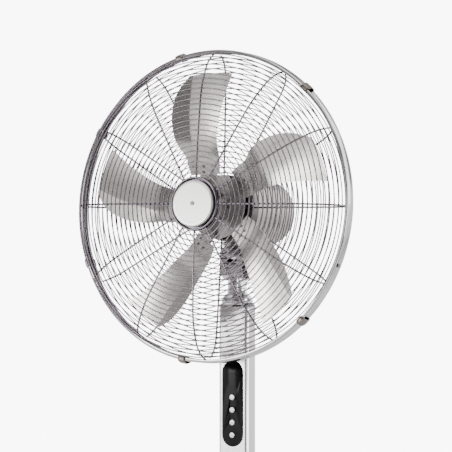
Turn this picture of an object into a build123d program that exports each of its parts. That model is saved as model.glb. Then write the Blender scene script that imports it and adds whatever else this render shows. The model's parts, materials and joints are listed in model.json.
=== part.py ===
from build123d import *
from math import acos, cos, radians, sin, tan
import os

# Pedestal fan: weighted base, telescopic pole, control column, and a head that swings and tilts and
# carries a five-blade rotor in a wire guard. Millimetres, +Z up. The fan faces -Y, and the origin is
# on the floor under the column's axis.

# Clearances
SEAT_GAP = 0.05  # between pieces of one body that are pushed together
RUN_GAP = 0.05  # between a shaft and its bush, on the radius
BODY_GAP = 0.3  # between pieces of different bodies that only pass each other
WELD = 0.3  # how far one wire sinks into another at a spot weld

# Stand
BASE_RADIUS = 195
BASE_HEIGHT = 36
BASE_EDGE_HEIGHT = 20
BASE_EDGE_ROUND = 12
BASE_FLOOR_GAP = 2
COVER_SHEET = 1.2
FOOT_RADIUS = 9
FOOT_HEIGHT = 4
FOOT_COUNT = 6
WEIGHT_RADIUS = 165
WEIGHT_THICKNESS = 8
SPIGOT_RADIUS = 10
NUT_RADIUS = 17
NUT_HEIGHT = 6
SOCKET_FLANGE_RADIUS = 30
SOCKET_FLANGE_HEIGHT = 6
SOCKET_WALL = 6
SOCKET_LENGTH = 55
POLE_RADIUS = 12.7
POLE_WALL = 1.2
POLE_TOP = 600
INNER_POLE_RADIUS = 9.5
HEIGHT_TRAVEL = 200
POLE_OVERLAP = 60  # inner pole still inside the outer one at full height
BUSH_LENGTH = 35
BUSH_FLANGE = 3
COLLET_HEIGHT = 15
COLLET_SLIT = 2
COLLAR_SKIRT = 15  # how far the collar reaches down over the pole
COLLAR_WALL = 7
COLLAR_LIP = 5
COLLAR_GROOVES = 20
COLLAR_GROOVE_RADIUS = 1.6

# Control column
COLUMN_BOTTOM = 640
COLUMN_WIDTH = 52
COLUMN_DEPTH = 27
COLUMN_CORNER = 6
COLUMN_WALL = 1.6
CAP_THICKNESS = 3
PLUG_FLANGE = 3
PLUG_LENGTH = 30
PLUG_WIDTH = 28
COLUMN_SCREW_MARGIN = 18
SCREW_SHANK = 1.3
SCREW_HEAD = 2.8
SCREW_HEAD_HEIGHT = 2.4
SCREW_BOSS = 3.5
BOSS_BITE = 0.5  # how far a boss runs into the wall beside it
PANEL_WIDTH = 37
PANEL_LENGTH = 130
PANEL_TOP_DROP = 81  # panel's top end below the column's top
PANEL_FOOT_RISE = 37  # panel's lower end above the column's bottom
PANEL_PROUD = 0.8
PANEL_FLANGE = 1.5
PANEL_FLANGE_SHEET = 1.0
BUTTON_RADIUS = 4.3
BUTTON_PITCH = 19
BUTTON_PROUD = 1.6
BUTTON_FLANGE = 0.9
BUTTON_TRAVEL = 1.2
BUTTON_NAMES = ["button_power", "button_speed", "button_swing", "button_timer"]
BOARD_WIDTH = 30
BOARD_LENGTH = 122
BOARD_SHEET = 1.6
SWITCH_SIZE = 6
SWITCH_HEIGHT = 2.1
INLET_BORE = 3.5
INLET_RADIUS = 6
INLET_FLANGE = 8
INLET_PROUD = 3
INLET_RISE = 58  # above the column's bottom

# Swing drive and neck
SWING_SHAFT_RADIUS = 6
SWING_SHAFT_WALL = 2.5
BEARING_LENGTH = 28
BEARING_WALL = 4
GEAR_MODULE = 0.8
GEAR_TEETH = 24
PINION_TEETH = 12
GEAR_WIDTH = 6
GEAR_ADDENDUM = 0.8
GEAR_DEDENDUM = 1.1
GEAR_PRESSURE = radians(25)
GEAR_BACKLASH = 0.16
SWING_MOTOR_RADIUS = 9.4
SWING_MOTOR_HEIGHT = 20
PINION_SHAFT = 1.5
NECK_BASE_RADIUS = 23.5
NECK_BASE_HEIGHT = 9
NECK_WAIST_RADIUS = 15
NECK_WAIST_RISE = 17
TONGUE_THICKNESS = 16
TONGUE_RADIUS = 16
TILT_PIVOT_RISE = 53  # above the column's top
TILT_BOLT_RADIUS = 4

# Head, in its own frame: x right, y up, z forward from the motor's axis over the tilt pivot
HEAD_TILT = 4
PIVOT_DROP = 90
CHEEK_THICKNESS = 10.7
CHEEK_RADIUS = 17
BRACKET_DEPTH = 34
BOLT_HEAD_HEIGHT = 5
BOLT_HEAD_RADIUS = 7
KNOB_RADIUS = 14
KNOB_LENGTH = 18
KNOB_LOBES = 6
MOTOR_RADIUS = 50
MOTOR_WALL = 2
MOTOR_SPLIT = 28
MOTOR_STRAIGHT = -74
MOTOR_SHOULDER = 20
MOTOR_SHOULDER_TURN = 75
SHAFT_RADIUS = 4
BEARING_RADIUS = 11
MOTOR_BEARING_LENGTH = 10
NOSE_RADIUS = 14
NOSE_LENGTH = 7
STATOR_LENGTH = 28
STATOR_BORE = 26.5
STATOR_SLOTS = 16
AIR_GAP = 0.5
COIL_LENGTH = 11
COIL_INNER = 29
COIL_OUTER = 37
MOTOR_SCREW_CIRCLE = 44
MOTOR_BOSS = 4.2
MOTOR_BOSS_LENGTH = 12
VENT_COUNT = 24
VENT_INNER = 20
VENT_OUTER = 36
VENT_WIDTH = 2.6

# Guard
RIM_RADIUS = 235
RIM_WIDTH = 18
RIM_SHEET = 1.2
RIM_LIP = 3
RIM_CENTRE = 73  # rim's middle plane in front of the tilt pivot
RIM_RING_WIRE = 2.2
RIM_RING_SPREAD = 4.4
CROWN_SLOPE = 0.8
FRONT_DOME = {"height": 57, "crown": 2650, "crown_turn": 2.5, "shoulder": 150, "shoulder_turn": 21.4}
FRONT_DOME |= {"edge": 46.7, "edge_turn": 52}
REAR_DOME = {"height": 27, "crown": 3600, "crown_turn": 2.5, "shoulder": 60, "shoulder_turn": 25}
REAR_DOME |= {"edge": 22, "edge_turn": 38}
RING_WIRE = 1.0
RING_PITCH = 7.9
INNER_RINGS = 12
SPOKE_WIRE = 1.4
SPOKE_COUNT = 12
FRONT_FIRST_RING = 47
REAR_FIRST_RING = 53
HUB_RING_RADIUS = 39
HUB_RING_WIRE = 1.7
HUB_PLATE_RADIUS = 41
HUB_PLATE_SHEET = 1.5
REAR_PLATE_RADIUS = 38
REAR_PLATE_SHEET = 1.6
GUARD_NUT_RADIUS = 20
GUARD_NUT_LENGTH = 6
BADGE_RADIUS = 35
BADGE_DEPTH = 7
BADGE_SHEET = 1.2
BADGE_SCREW_RADIUS = 3
CLIP_ANGLES = [-15, -60, -110, -168, 138, 43]  # clockwise from the top, seen from the front
CLIP_LENGTH = 13
CLIP_SHEET = 1.2
CLIP_HOOK = 6
CLIP_LEVER_RISE = 4
BAND_SCREW_ANGLE = 112

# Rotor
BLADE_COUNT = 5
BLADE_FIRST_ANGLE = -3.6
BLADE_TIP = 200
BLADE_SHEET = 1.2
BLADE_STATIONS = [  # radius, widths before and after the crease, pitch, bend, crease's lead, forward
    (49, 37, 8, 16, 1, -30, 74),
    (68, 37, 13, 16, 1, -30, 74),
    (100, 40, 24, 12, 15, -31, 84),
    (140, 49, 27, 10, 18, -31, 88),
    (175, 58, 20, 8, 20, -28, 87),
    (201, 66, 3, 7, 18, -25, 85),
]
HUB_DISC_RADIUS = 48
HUB_DISC_SHEET = 2.5
HUB_DISC_PLACE = 66
HUB_BOSS_RADIUS = 12
HUB_BOSS_LENGTH = 15
HUB_SCREW_CIRCLE = 19
HUB_SCREW_COUNT = 5
ARM_LENGTH = 68
ARM_WIDTH = 26
RIVET_RADIUS = 2.2
RIVET_HEAD = 1
RIVET_RADII = [53, 62]
HUB_NUT_RADIUS = 9
HUB_NUT_LENGTH = 10

# Places worked out from the sizes
WEIGHT_TOP = FOOT_HEIGHT + WEIGHT_THICKNESS
POLE_FOOT = BASE_HEIGHT + SOCKET_FLANGE_HEIGHT
COLLET_BASE = POLE_TOP + BUSH_FLANGE
COLLET_TOP = COLLET_BASE + COLLET_HEIGHT
COLUMN_LENGTH = PANEL_FOOT_RISE + PANEL_LENGTH + PANEL_TOP_DROP
COLUMN_TOP = COLUMN_BOTTOM + COLUMN_LENGTH
CAP_TOP = COLUMN_TOP + CAP_THICKNESS
HALF_DEPTH = COLUMN_DEPTH / 2
INNER_HALF_DEPTH = HALF_DEPTH - COLUMN_WALL
SCREW_X = COLUMN_WIDTH / 2 - COLUMN_WALL - SCREW_BOSS + BOSS_BITE
PANEL_CENTRE = COLUMN_TOP - PANEL_TOP_DROP - PANEL_LENGTH / 2
PANEL_BACK = INNER_HALF_DEPTH - PANEL_FLANGE_SHEET
BOARD_FRONT = PANEL_BACK - BUTTON_FLANGE - BUTTON_TRAVEL - BODY_GAP - SEAT_GAP - SWITCH_HEIGHT
BUTTON_LEVELS = [PANEL_CENTRE + BUTTON_PITCH * (0.5 - i) for i in range(len(BUTTON_NAMES))]
GEAR_TOP = COLUMN_TOP - BEARING_LENGTH - BODY_GAP
GEAR_CENTRES = GEAR_MODULE * (GEAR_TEETH + PINION_TEETH) / 2
SWING_MOTOR_TOP = GEAR_TOP - GEAR_WIDTH - 2 * BODY_GAP
SCREW_LEVELS = [COLUMN_BOTTOM + COLUMN_SCREW_MARGIN, SWING_MOTOR_TOP - SWING_MOTOR_HEIGHT - SCREW_BOSS - 2]
NECK_FOOT = CAP_TOP + BODY_GAP
TILT_PIVOT = CAP_TOP + TILT_PIVOT_RISE
CHEEK_INSIDE = TONGUE_THICKNESS / 2 + BODY_GAP
CHEEK_OUTSIDE = CHEEK_INSIDE + CHEEK_THICKNESS
RING_TO_SPOKE = RING_WIRE + SPOKE_WIRE - WELD
MOTOR_INSIDE = MOTOR_RADIUS - MOTOR_WALL
REAR_SPOKE_BACK = RIM_CENTRE - REAR_DOME["height"] + RING_TO_SPOKE - SPOKE_WIRE
MOTOR_FRONT = REAR_SPOKE_BACK + WELD - REAR_PLATE_SHEET  # the guard's plate lies on the motor
shoulder_turn = radians(MOTOR_SHOULDER_TURN)
MOTOR_CROWN = (MOTOR_RADIUS - MOTOR_SHOULDER * (1 - cos(shoulder_turn))) / cos(shoulder_turn)
crown_rise = MOTOR_CROWN * (1 - sin(shoulder_turn))
MOTOR_REAR = MOTOR_STRAIGHT - MOTOR_SHOULDER * sin(shoulder_turn) - crown_rise
RIM_INSIDE = RIM_RADIUS - RIM_SHEET
RIM_RING_RADIUS = RIM_INSIDE - RIM_RING_WIRE - SEAT_GAP

# The head's planes. HEAD looks along the fan's axis; HEAD_SECTION holds that axis as its y.
tilt_turn = radians(HEAD_TILT)
head_forward = Vector(0, -cos(tilt_turn), sin(tilt_turn))
head_up = Vector(0, sin(tilt_turn), cos(tilt_turn))
head_origin = Vector(0, 0, TILT_PIVOT) + head_up * PIVOT_DROP
HEAD = Plane(origin=head_origin, x_dir=(1, 0, 0), z_dir=head_forward)
HEAD_SECTION = Plane(origin=head_origin, x_dir=(1, 0, 0), z_dir=-head_up)
HEAD_AXIS = Axis(head_origin, head_forward)
COLUMN_FACE = Plane(origin=(0, 0, 0), x_dir=(1, 0, 0), z_dir=(0, -1, 0))  # y is height, z is towards -Y

os.makedirs("parts", exist_ok=True)


def save(piece, name):
    """Label a finished piece and write its STEP file."""
    piece.part.label = name
    export_step(piece.part, f"parts/{name}.step")


def turned(outline, plane=Plane.XZ, axis=Axis.Z):
    """A lathe-turned solid from a closed outline of (radius, height) points."""
    with BuildPart() as piece:
        with BuildSketch(plane):
            with BuildLine():
                Polyline(*outline, close=True)
            make_face()
        revolve(axis=axis)
    return piece


def tube(outer, inner, low, high, plane=Plane.XY):
    """A straight tube between two heights above a plane."""
    with BuildPart() as piece:
        with BuildSketch(plane.offset(low)):
            Circle(outer)
            Circle(inner, mode=Mode.SUBTRACT)
        extrude(amount=high - low)
    return piece


# ---------------------------------------------------------------- stand

with BuildPart() as rubber_feet:
    with BuildSketch(Plane.XY):
        with PolarLocations(WEIGHT_RADIUS - 1.5 * FOOT_RADIUS, FOOT_COUNT, start_angle=30):
            Circle(FOOT_RADIUS)
    extrude(amount=FOOT_HEIGHT)
save(rubber_feet, "rubber_feet")

with BuildPart() as base_weight:
    with BuildSketch(Plane.XY.offset(FOOT_HEIGHT)):
        Circle(WEIGHT_RADIUS)
    extrude(amount=WEIGHT_THICKNESS)
    with BuildSketch(Plane.XY.offset(WEIGHT_TOP)):
        Circle(SOCKET_FLANGE_RADIUS)
    extrude(amount=BASE_HEIGHT - COVER_SHEET - WEIGHT_TOP)
    with Locations((0, 0, FOOT_HEIGHT)):
        Cylinder(
            NUT_RADIUS + 3,
            NUT_HEIGHT + 2,
            align=(Align.CENTER, Align.CENTER, Align.MIN),
            mode=Mode.SUBTRACT,
        )
        Cylinder(
            SPIGOT_RADIUS + SEAT_GAP,
            BASE_HEIGHT,
            align=(Align.CENTER, Align.CENTER, Align.MIN),
            mode=Mode.SUBTRACT,
        )
save(base_weight, "base_weight")

# Pressed cover: the outside line is drawn, and the sheet is its inward offset
with BuildPart() as base_cover:
    with BuildSketch(Plane.XZ):
        with BuildLine():
            outside = FilletPolyline(
                (BASE_RADIUS, BASE_FLOOR_GAP),
                (BASE_RADIUS, BASE_EDGE_HEIGHT),
                (SOCKET_FLANGE_RADIUS + 4, BASE_HEIGHT),
                (SPIGOT_RADIUS + 1, BASE_HEIGHT),
                radius=BASE_EDGE_ROUND,
            )
            offset(outside, amount=COVER_SHEET, side=Side.LEFT)
        make_face()
    revolve(axis=Axis.Z)
save(base_cover, "base_cover")

pole_socket = turned([
    (0, FOOT_HEIGHT + 1),
    (SPIGOT_RADIUS, FOOT_HEIGHT + 1),
    (SPIGOT_RADIUS, BASE_HEIGHT),
    (SOCKET_FLANGE_RADIUS, BASE_HEIGHT),
    (SOCKET_FLANGE_RADIUS, BASE_HEIGHT + SOCKET_FLANGE_HEIGHT / 2),
    (POLE_RADIUS + SOCKET_WALL, POLE_FOOT + SOCKET_WALL),
    (POLE_RADIUS + SOCKET_WALL / 2, POLE_FOOT + SOCKET_LENGTH),
    (POLE_RADIUS + SEAT_GAP, POLE_FOOT + SOCKET_LENGTH),
    (POLE_RADIUS + SEAT_GAP, POLE_FOOT),
    (0, POLE_FOOT),
])
save(pole_socket, "pole_socket")

with BuildPart() as pole_nut:
    with BuildSketch(Plane.XY.offset(FOOT_HEIGHT + 2)):
        RegularPolygon(NUT_RADIUS, 6)
        Circle(SPIGOT_RADIUS + SEAT_GAP, mode=Mode.SUBTRACT)
    extrude(amount=NUT_HEIGHT)
save(pole_nut, "pole_nut")

outer_pole = tube(POLE_RADIUS, POLE_RADIUS - POLE_WALL, POLE_FOOT, POLE_TOP)
save(outer_pole, "outer_pole")

bush_outer = POLE_RADIUS - POLE_WALL - SEAT_GAP
bush_bore = INNER_POLE_RADIUS + RUN_GAP
guide_bush = turned([
    (bush_bore, POLE_TOP - BUSH_LENGTH),
    (bush_outer, POLE_TOP - BUSH_LENGTH),
    (bush_outer, POLE_TOP),
    (POLE_RADIUS, POLE_TOP),
    (POLE_RADIUS, COLLET_BASE),
    (bush_bore, COLLET_BASE),
])
save(guide_bush, "guide_bush")

# Split cone that the collar squeezes onto the inner pole
with BuildPart() as collet:
    with BuildSketch(Plane.XZ):
        with BuildLine():
            Polyline(
                (bush_bore, COLLET_BASE),
                (POLE_RADIUS - BODY_GAP, COLLET_BASE),
                (POLE_RADIUS - 2 * BODY_GAP - 1, COLLET_TOP),
                (bush_bore, COLLET_TOP),
                close=True,
            )
        make_face()
    revolve(axis=Axis.Z)
    with Locations((0, POLE_RADIUS, COLLET_TOP)):
        Box(COLLET_SLIT, 2 * POLE_RADIUS, 1.5 * COLLET_HEIGHT, mode=Mode.SUBTRACT)
save(collet, "collet")

# ---------------------------------------------------------------- height collar

with BuildPart() as height_collar:
    collar_foot = POLE_TOP - COLLAR_SKIRT
    collar_top = COLLET_TOP + 2 * BODY_GAP + COLLAR_LIP
    collar_bore = POLE_RADIUS + BODY_GAP
    with BuildSketch(Plane.XY.offset(collar_foot)):
        Circle(collar_bore + COLLAR_WALL)
    extrude(amount=collar_top - collar_foot)
    chamfer(height_collar.edges().filter_by(GeomType.CIRCLE), length=1.5)
    with BuildSketch(Plane.XY.offset(collar_foot)):
        Circle(collar_bore)
    extrude(amount=collar_top - collar_foot - COLLAR_LIP, mode=Mode.SUBTRACT)
    with BuildSketch(Plane.XY.offset(collar_foot)):
        Circle(INNER_POLE_RADIUS + 2 * BODY_GAP)
    extrude(amount=collar_top - collar_foot, mode=Mode.SUBTRACT)
    with BuildSketch(Plane.XY.offset(collar_foot)):
        with PolarLocations(collar_bore + COLLAR_WALL + 0.4, COLLAR_GROOVES):
            Circle(COLLAR_GROOVE_RADIUS)
    extrude(amount=collar_top - collar_foot, mode=Mode.SUBTRACT)
save(height_collar, "height_collar")

# ---------------------------------------------------------------- column

inner_pole = tube(
    INNER_POLE_RADIUS,
    INNER_POLE_RADIUS - POLE_WALL,
    POLE_TOP - POLE_OVERLAP - HEIGHT_TRAVEL,
    COLUMN_BOTTOM + PLUG_LENGTH,
)
save(inner_pole, "inner_pole")

with BuildPart() as socket_plug:
    with BuildSketch(Plane.XY.offset(COLUMN_BOTTOM - PLUG_FLANGE)):
        RectangleRounded(COLUMN_WIDTH, COLUMN_DEPTH, COLUMN_CORNER)
    extrude(amount=PLUG_FLANGE)
    with BuildSketch(Plane.XY.offset(COLUMN_BOTTOM)):
        Rectangle(PLUG_WIDTH, 2 * (INNER_HALF_DEPTH - SEAT_GAP))
    extrude(amount=PLUG_LENGTH)
    with BuildSketch(Plane.XY.offset(COLUMN_BOTTOM - PLUG_FLANGE)):
        Circle(INNER_POLE_RADIUS + SEAT_GAP)
    extrude(amount=PLUG_FLANGE + PLUG_LENGTH, mode=Mode.SUBTRACT)
save(socket_plug, "socket_plug")


def column_half(side):
    """One half of the column's casing: side is -1 for the front and 1 for the rear."""
    with BuildPart() as half:
        with BuildSketch(Plane.XY.offset(COLUMN_BOTTOM)):
            RectangleRounded(COLUMN_WIDTH, COLUMN_DEPTH, COLUMN_CORNER)
            inner_width = COLUMN_WIDTH - 2 * COLUMN_WALL
            RectangleRounded(
                inner_width, 2 * INNER_HALF_DEPTH, COLUMN_CORNER - COLUMN_WALL, mode=Mode.SUBTRACT
            )
            with Locations((0, -side * COLUMN_DEPTH / 2)):
                Rectangle(COLUMN_WIDTH + 1, COLUMN_DEPTH, mode=Mode.SUBTRACT)
        extrude(amount=COLUMN_LENGTH)
        with BuildSketch(COLUMN_FACE.offset(-side * (INNER_HALF_DEPTH + COLUMN_WALL / 2))):
            with Locations(*[(x, z) for x in (-SCREW_X, SCREW_X) for z in SCREW_LEVELS]):
                Circle(SCREW_BOSS)
        extrude(amount=side * (INNER_HALF_DEPTH + COLUMN_WALL / 2))
    return half


with BuildPart() as column_front:
    add(column_half(-1).part)
    with BuildSketch(COLUMN_FACE.offset(PANEL_BACK)):
        with Locations((0, PANEL_CENTRE)):
            SlotOverall(PANEL_LENGTH + 2 * SEAT_GAP, PANEL_WIDTH + 2 * SEAT_GAP, rotation=90)
    extrude(amount=COLUMN_DEPTH, mode=Mode.SUBTRACT)
    with BuildSketch(COLUMN_FACE):
        with Locations(*[(x, z) for x in (-SCREW_X, SCREW_X) for z in SCREW_LEVELS]):
            Circle(SCREW_SHANK + SEAT_GAP)
    extrude(amount=INNER_HALF_DEPTH - 1, mode=Mode.SUBTRACT)
save(column_front, "column_front")

with BuildPart() as column_rear:
    add(column_half(1).part)
    with BuildSketch(COLUMN_FACE.offset(-HALF_DEPTH)):
        with Locations(*[(x, z) for x in (-SCREW_X, SCREW_X) for z in SCREW_LEVELS]):
            Circle(SCREW_SHANK + SEAT_GAP)
        with Locations((0, COLUMN_BOTTOM + INLET_RISE)):
            Circle(INLET_RADIUS + SEAT_GAP)
    extrude(amount=HALF_DEPTH, mode=Mode.SUBTRACT)
    with BuildSketch(COLUMN_FACE.offset(-HALF_DEPTH)):
        with Locations(*[(x, z) for x in (-SCREW_X, SCREW_X) for z in SCREW_LEVELS]):
            Circle(SCREW_HEAD + 0.2)
    extrude(amount=SCREW_HEAD_HEIGHT + SEAT_GAP, mode=Mode.SUBTRACT)
save(column_rear, "column_rear")

with BuildPart() as column_screws:
    with BuildSketch(COLUMN_FACE.offset(-HALF_DEPTH)):
        with Locations(*[(x, z) for x in (-SCREW_X, SCREW_X) for z in SCREW_LEVELS]):
            Circle(SCREW_HEAD)
    extrude(amount=SCREW_HEAD_HEIGHT)
    with BuildSketch(COLUMN_FACE.offset(-HALF_DEPTH)):
        with Locations(*[(x, z) for x in (-SCREW_X, SCREW_X) for z in SCREW_LEVELS]):
            Circle(SCREW_SHANK)
    extrude(amount=HALF_DEPTH + INNER_HALF_DEPTH - 2)
save(column_screws, "column_screws")

# Oval window with the buttons' holes, a flange behind the casing's wall, and posts for the board
with BuildPart() as control_panel:
    with BuildSketch(COLUMN_FACE.offset(PANEL_BACK)):
        with Locations((0, PANEL_CENTRE)):
            SlotOverall(PANEL_LENGTH + 2 * PANEL_FLANGE, PANEL_WIDTH + 2 * PANEL_FLANGE, rotation=90)
    extrude(amount=PANEL_FLANGE_SHEET - SEAT_GAP)
    with BuildSketch(COLUMN_FACE.offset(PANEL_BACK)):
        with Locations((0, PANEL_CENTRE)):
            SlotOverall(PANEL_LENGTH, PANEL_WIDTH, rotation=90)
    extrude(amount=HALF_DEPTH + PANEL_PROUD - PANEL_BACK)
    chamfer(control_panel.faces().sort_by(Axis.Y)[0].edges(), length=0.5)
    with BuildSketch(COLUMN_FACE.offset(PANEL_BACK)):
        with Locations(*[(0, level) for level in BUTTON_LEVELS]):
            Circle(BUTTON_RADIUS + BODY_GAP)
    extrude(amount=HALF_DEPTH, mode=Mode.SUBTRACT)
    with BuildSketch(COLUMN_FACE.offset(BOARD_FRONT)):
        post_x = BOARD_WIDTH / 2 - 3
        post_rise = BOARD_LENGTH / 2 - 12
        with Locations(*[(x, PANEL_CENTRE + z) for x in (-post_x, post_x) for z in (-post_rise, post_rise)]):
            Circle(1.5)
    extrude(amount=PANEL_BACK - BOARD_FRONT + PANEL_FLANGE_SHEET / 2)
save(control_panel, "control_panel")

with BuildPart() as circuit_board:
    with BuildSketch(COLUMN_FACE.offset(BOARD_FRONT)):
        with Locations((0, PANEL_CENTRE)):
            Rectangle(BOARD_WIDTH, BOARD_LENGTH)
    extrude(amount=-BOARD_SHEET)
    with BuildSketch(COLUMN_FACE.offset(BOARD_FRONT)):
        with Locations(*[(0, level) for level in BUTTON_LEVELS]):
            Rectangle(SWITCH_SIZE, SWITCH_SIZE)
    extrude(amount=SWITCH_HEIGHT)
save(circuit_board, "circuit_board")

for name, level in zip(BUTTON_NAMES, BUTTON_LEVELS):
    with BuildPart() as button:
        with BuildSketch(COLUMN_FACE.offset(PANEL_BACK - SEAT_GAP - BUTTON_FLANGE)):
            with Locations((0, level)):
                Circle(BUTTON_RADIUS + 1)
        extrude(amount=BUTTON_FLANGE)
        with BuildSketch(COLUMN_FACE.offset(PANEL_BACK - SEAT_GAP - BUTTON_FLANGE)):
            with Locations((0, level)):
                Circle(BUTTON_RADIUS)
        extrude(amount=HALF_DEPTH + PANEL_PROUD + BUTTON_PROUD - PANEL_BACK + BUTTON_FLANGE)
        fillet(button.faces().sort_by(Axis.Y)[0].edges(), radius=0.6)
    save(button, name)

with BuildPart() as column_cap:
    with BuildSketch(Plane.XY.offset(COLUMN_TOP)):
        RectangleRounded(COLUMN_WIDTH, COLUMN_DEPTH, COLUMN_CORNER)
    extrude(amount=CAP_THICKNESS)
    chamfer(column_cap.faces().sort_by(Axis.Z)[-1].edges(), length=1)
    with BuildSketch(Plane.XY.offset(COLUMN_TOP)):
        Circle(SWING_SHAFT_RADIUS + BEARING_WALL)
    extrude(amount=-BEARING_LENGTH)
    # the post that the swing motor hangs from, clear of the pinion
    with BuildSketch(Plane.XY.offset(COLUMN_TOP)):
        with Locations((COLUMN_WIDTH / 2 - COLUMN_WALL - 2, 0)):
            Rectangle(3, 8)
    extrude(amount=SWING_MOTOR_TOP - COLUMN_TOP)
    with BuildSketch(Plane.XY.offset(COLUMN_TOP + CAP_THICKNESS)):
        Circle(SWING_SHAFT_RADIUS + RUN_GAP)
    extrude(amount=-CAP_THICKNESS - BEARING_LENGTH, mode=Mode.SUBTRACT)
save(column_cap, "column_cap")

with BuildPart() as swing_motor:
    with BuildSketch(Plane.XY.offset(SWING_MOTOR_TOP)):
        with Locations((GEAR_CENTRES, 0)):
            Circle(SWING_MOTOR_RADIUS)
        with Locations((COLUMN_WIDTH / 2 - COLUMN_WALL - 2, 0)):
            Rectangle(3, 14)
    extrude(amount=-2)
    with BuildSketch(Plane.XY.offset(SWING_MOTOR_TOP)):
        with Locations((GEAR_CENTRES, 0)):
            Circle(SWING_MOTOR_RADIUS)
    extrude(amount=-SWING_MOTOR_HEIGHT)
    with BuildSketch(Plane.XY.offset(SWING_MOTOR_TOP)):
        with Locations((GEAR_CENTRES, 0)):
            Circle(PINION_SHAFT + RUN_GAP)
    extrude(amount=-8, mode=Mode.SUBTRACT)
save(swing_motor, "swing_motor")

with BuildPart() as power_inlet:
    with BuildSketch(COLUMN_FACE.offset(-HALF_DEPTH)):
        with Locations((0, COLUMN_BOTTOM + INLET_RISE)):
            Circle(INLET_RADIUS)
    extrude(amount=COLUMN_WALL + 2)
    with BuildSketch(COLUMN_FACE.offset(-HALF_DEPTH)):
        with Locations((0, COLUMN_BOTTOM + INLET_RISE)):
            Circle(INLET_FLANGE)
    extrude(amount=-INLET_PROUD)
    fillet(power_inlet.faces().sort_by(Axis.Y)[-1].edges(), radius=1)
    with BuildSketch(COLUMN_FACE.offset(-HALF_DEPTH - INLET_PROUD)):
        with Locations((0, COLUMN_BOTTOM + INLET_RISE)):
            Circle(INLET_BORE)
    extrude(amount=INLET_PROUD + COLUMN_WALL + 2, mode=Mode.SUBTRACT)
save(power_inlet, "power_inlet")

# ---------------------------------------------------------------- swing drive


def tooth_outline(teeth):
    """One involute tooth about the x axis, from just under the root to the tip."""
    pitch_radius = GEAR_MODULE * teeth / 2
    base_radius = pitch_radius * cos(GEAR_PRESSURE)
    root_radius = pitch_radius - GEAR_DEDENDUM * GEAR_MODULE
    tip_radius = pitch_radius + GEAR_ADDENDUM * GEAR_MODULE
    half_at_pitch = (radians(180) * GEAR_MODULE / 2 - GEAR_BACKLASH) / 2 / pitch_radius
    roll_at_pitch = tan(GEAR_PRESSURE) - GEAR_PRESSURE
    foot = max(base_radius, root_radius)
    flank = []
    for step in range(5):
        radius = foot + (tip_radius - foot) * step / 4
        pressure = acos(base_radius / radius) if radius > base_radius else 0
        half = half_at_pitch + roll_at_pitch - (tan(pressure) - pressure)
        flank.append((radius * cos(half), radius * sin(half)))
    under_root = (root_radius * 0.9, flank[0][1])
    upper = [under_root] + flank
    return upper + [(x, -y) for x, y in reversed(upper)]


def spur_gear(teeth, centre_x, turn):
    """A spur gear's solid, with a tooth's middle turned away from +X by an angle in degrees."""
    with BuildPart() as gear:
        with BuildSketch(Plane((centre_x, 0, GEAR_TOP - GEAR_WIDTH))):
            Circle(GEAR_MODULE * teeth / 2 - GEAR_DEDENDUM * GEAR_MODULE)
            with PolarLocations(0, teeth, start_angle=turn):
                Polygon(*tooth_outline(teeth), align=None)
        extrude(amount=GEAR_WIDTH)
    return gear


with BuildPart() as swing_gear:
    add(spur_gear(GEAR_TEETH, 0, 0).part)
    with BuildSketch(Plane.XY.offset(GEAR_TOP - GEAR_WIDTH)):
        Circle(SWING_SHAFT_RADIUS + SEAT_GAP)
    extrude(amount=GEAR_WIDTH, mode=Mode.SUBTRACT)
save(swing_gear, "swing_gear")

with BuildPart() as swing_pinion:
    add(spur_gear(PINION_TEETH, GEAR_CENTRES, 180 / PINION_TEETH).part)
    with BuildSketch(Plane.XY.offset(GEAR_TOP - GEAR_WIDTH)):
        with Locations((GEAR_CENTRES, 0)):
            Circle(PINION_SHAFT)
    extrude(amount=-7)
save(swing_pinion, "swing_pinion")

# ---------------------------------------------------------------- neck

neck_top_radius = NECK_WAIST_RADIUS - 1
with BuildPart() as neck_casting:
    with BuildSketch(Plane.XZ):
        with BuildLine():
            Polyline(
                (0, NECK_FOOT),
                (NECK_BASE_RADIUS, NECK_FOOT),
                (NECK_BASE_RADIUS, NECK_FOOT + NECK_BASE_HEIGHT),
                (NECK_WAIST_RADIUS, NECK_FOOT + NECK_WAIST_RISE),
                (neck_top_radius, NECK_FOOT + NECK_WAIST_RISE + 8),
                (0, NECK_FOOT + NECK_WAIST_RISE + 8),
                close=True,
            )
        make_face()
    revolve(axis=Axis.Z)
    with BuildSketch(Plane.YZ.offset(-TONGUE_THICKNESS / 2)):
        with Locations((0, TILT_PIVOT)):
            Circle(TONGUE_RADIUS)
        with Locations((0, (NECK_FOOT + NECK_WAIST_RISE + TILT_PIVOT) / 2)):
            Rectangle(2 * neck_top_radius, TILT_PIVOT - NECK_FOOT - NECK_WAIST_RISE)
    extrude(amount=TONGUE_THICKNESS)
    with BuildSketch(Plane.YZ.offset(-TONGUE_THICKNESS / 2)):
        with Locations((0, TILT_PIVOT)):
            Circle(TILT_BOLT_RADIUS + RUN_GAP)
    extrude(amount=TONGUE_THICKNESS, mode=Mode.SUBTRACT)
    with BuildSketch(Plane.XY.offset(NECK_FOOT)):
        Circle(SWING_SHAFT_RADIUS)
    extrude(amount=GEAR_TOP - GEAR_WIDTH - NECK_FOOT)
    with BuildSketch(Plane.XY.offset(GEAR_TOP - GEAR_WIDTH)):
        Circle(SWING_SHAFT_RADIUS - SWING_SHAFT_WALL)
    extrude(amount=NECK_FOOT + NECK_WAIST_RISE - GEAR_TOP + GEAR_WIDTH, mode=Mode.SUBTRACT)
save(neck_casting, "neck_casting")

# ---------------------------------------------------------------- tilt joint

HEAD_SIDE = Plane(origin=head_origin, x_dir=-head_forward, z_dir=(1, 0, 0))  # x is rearward, y is up


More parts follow.
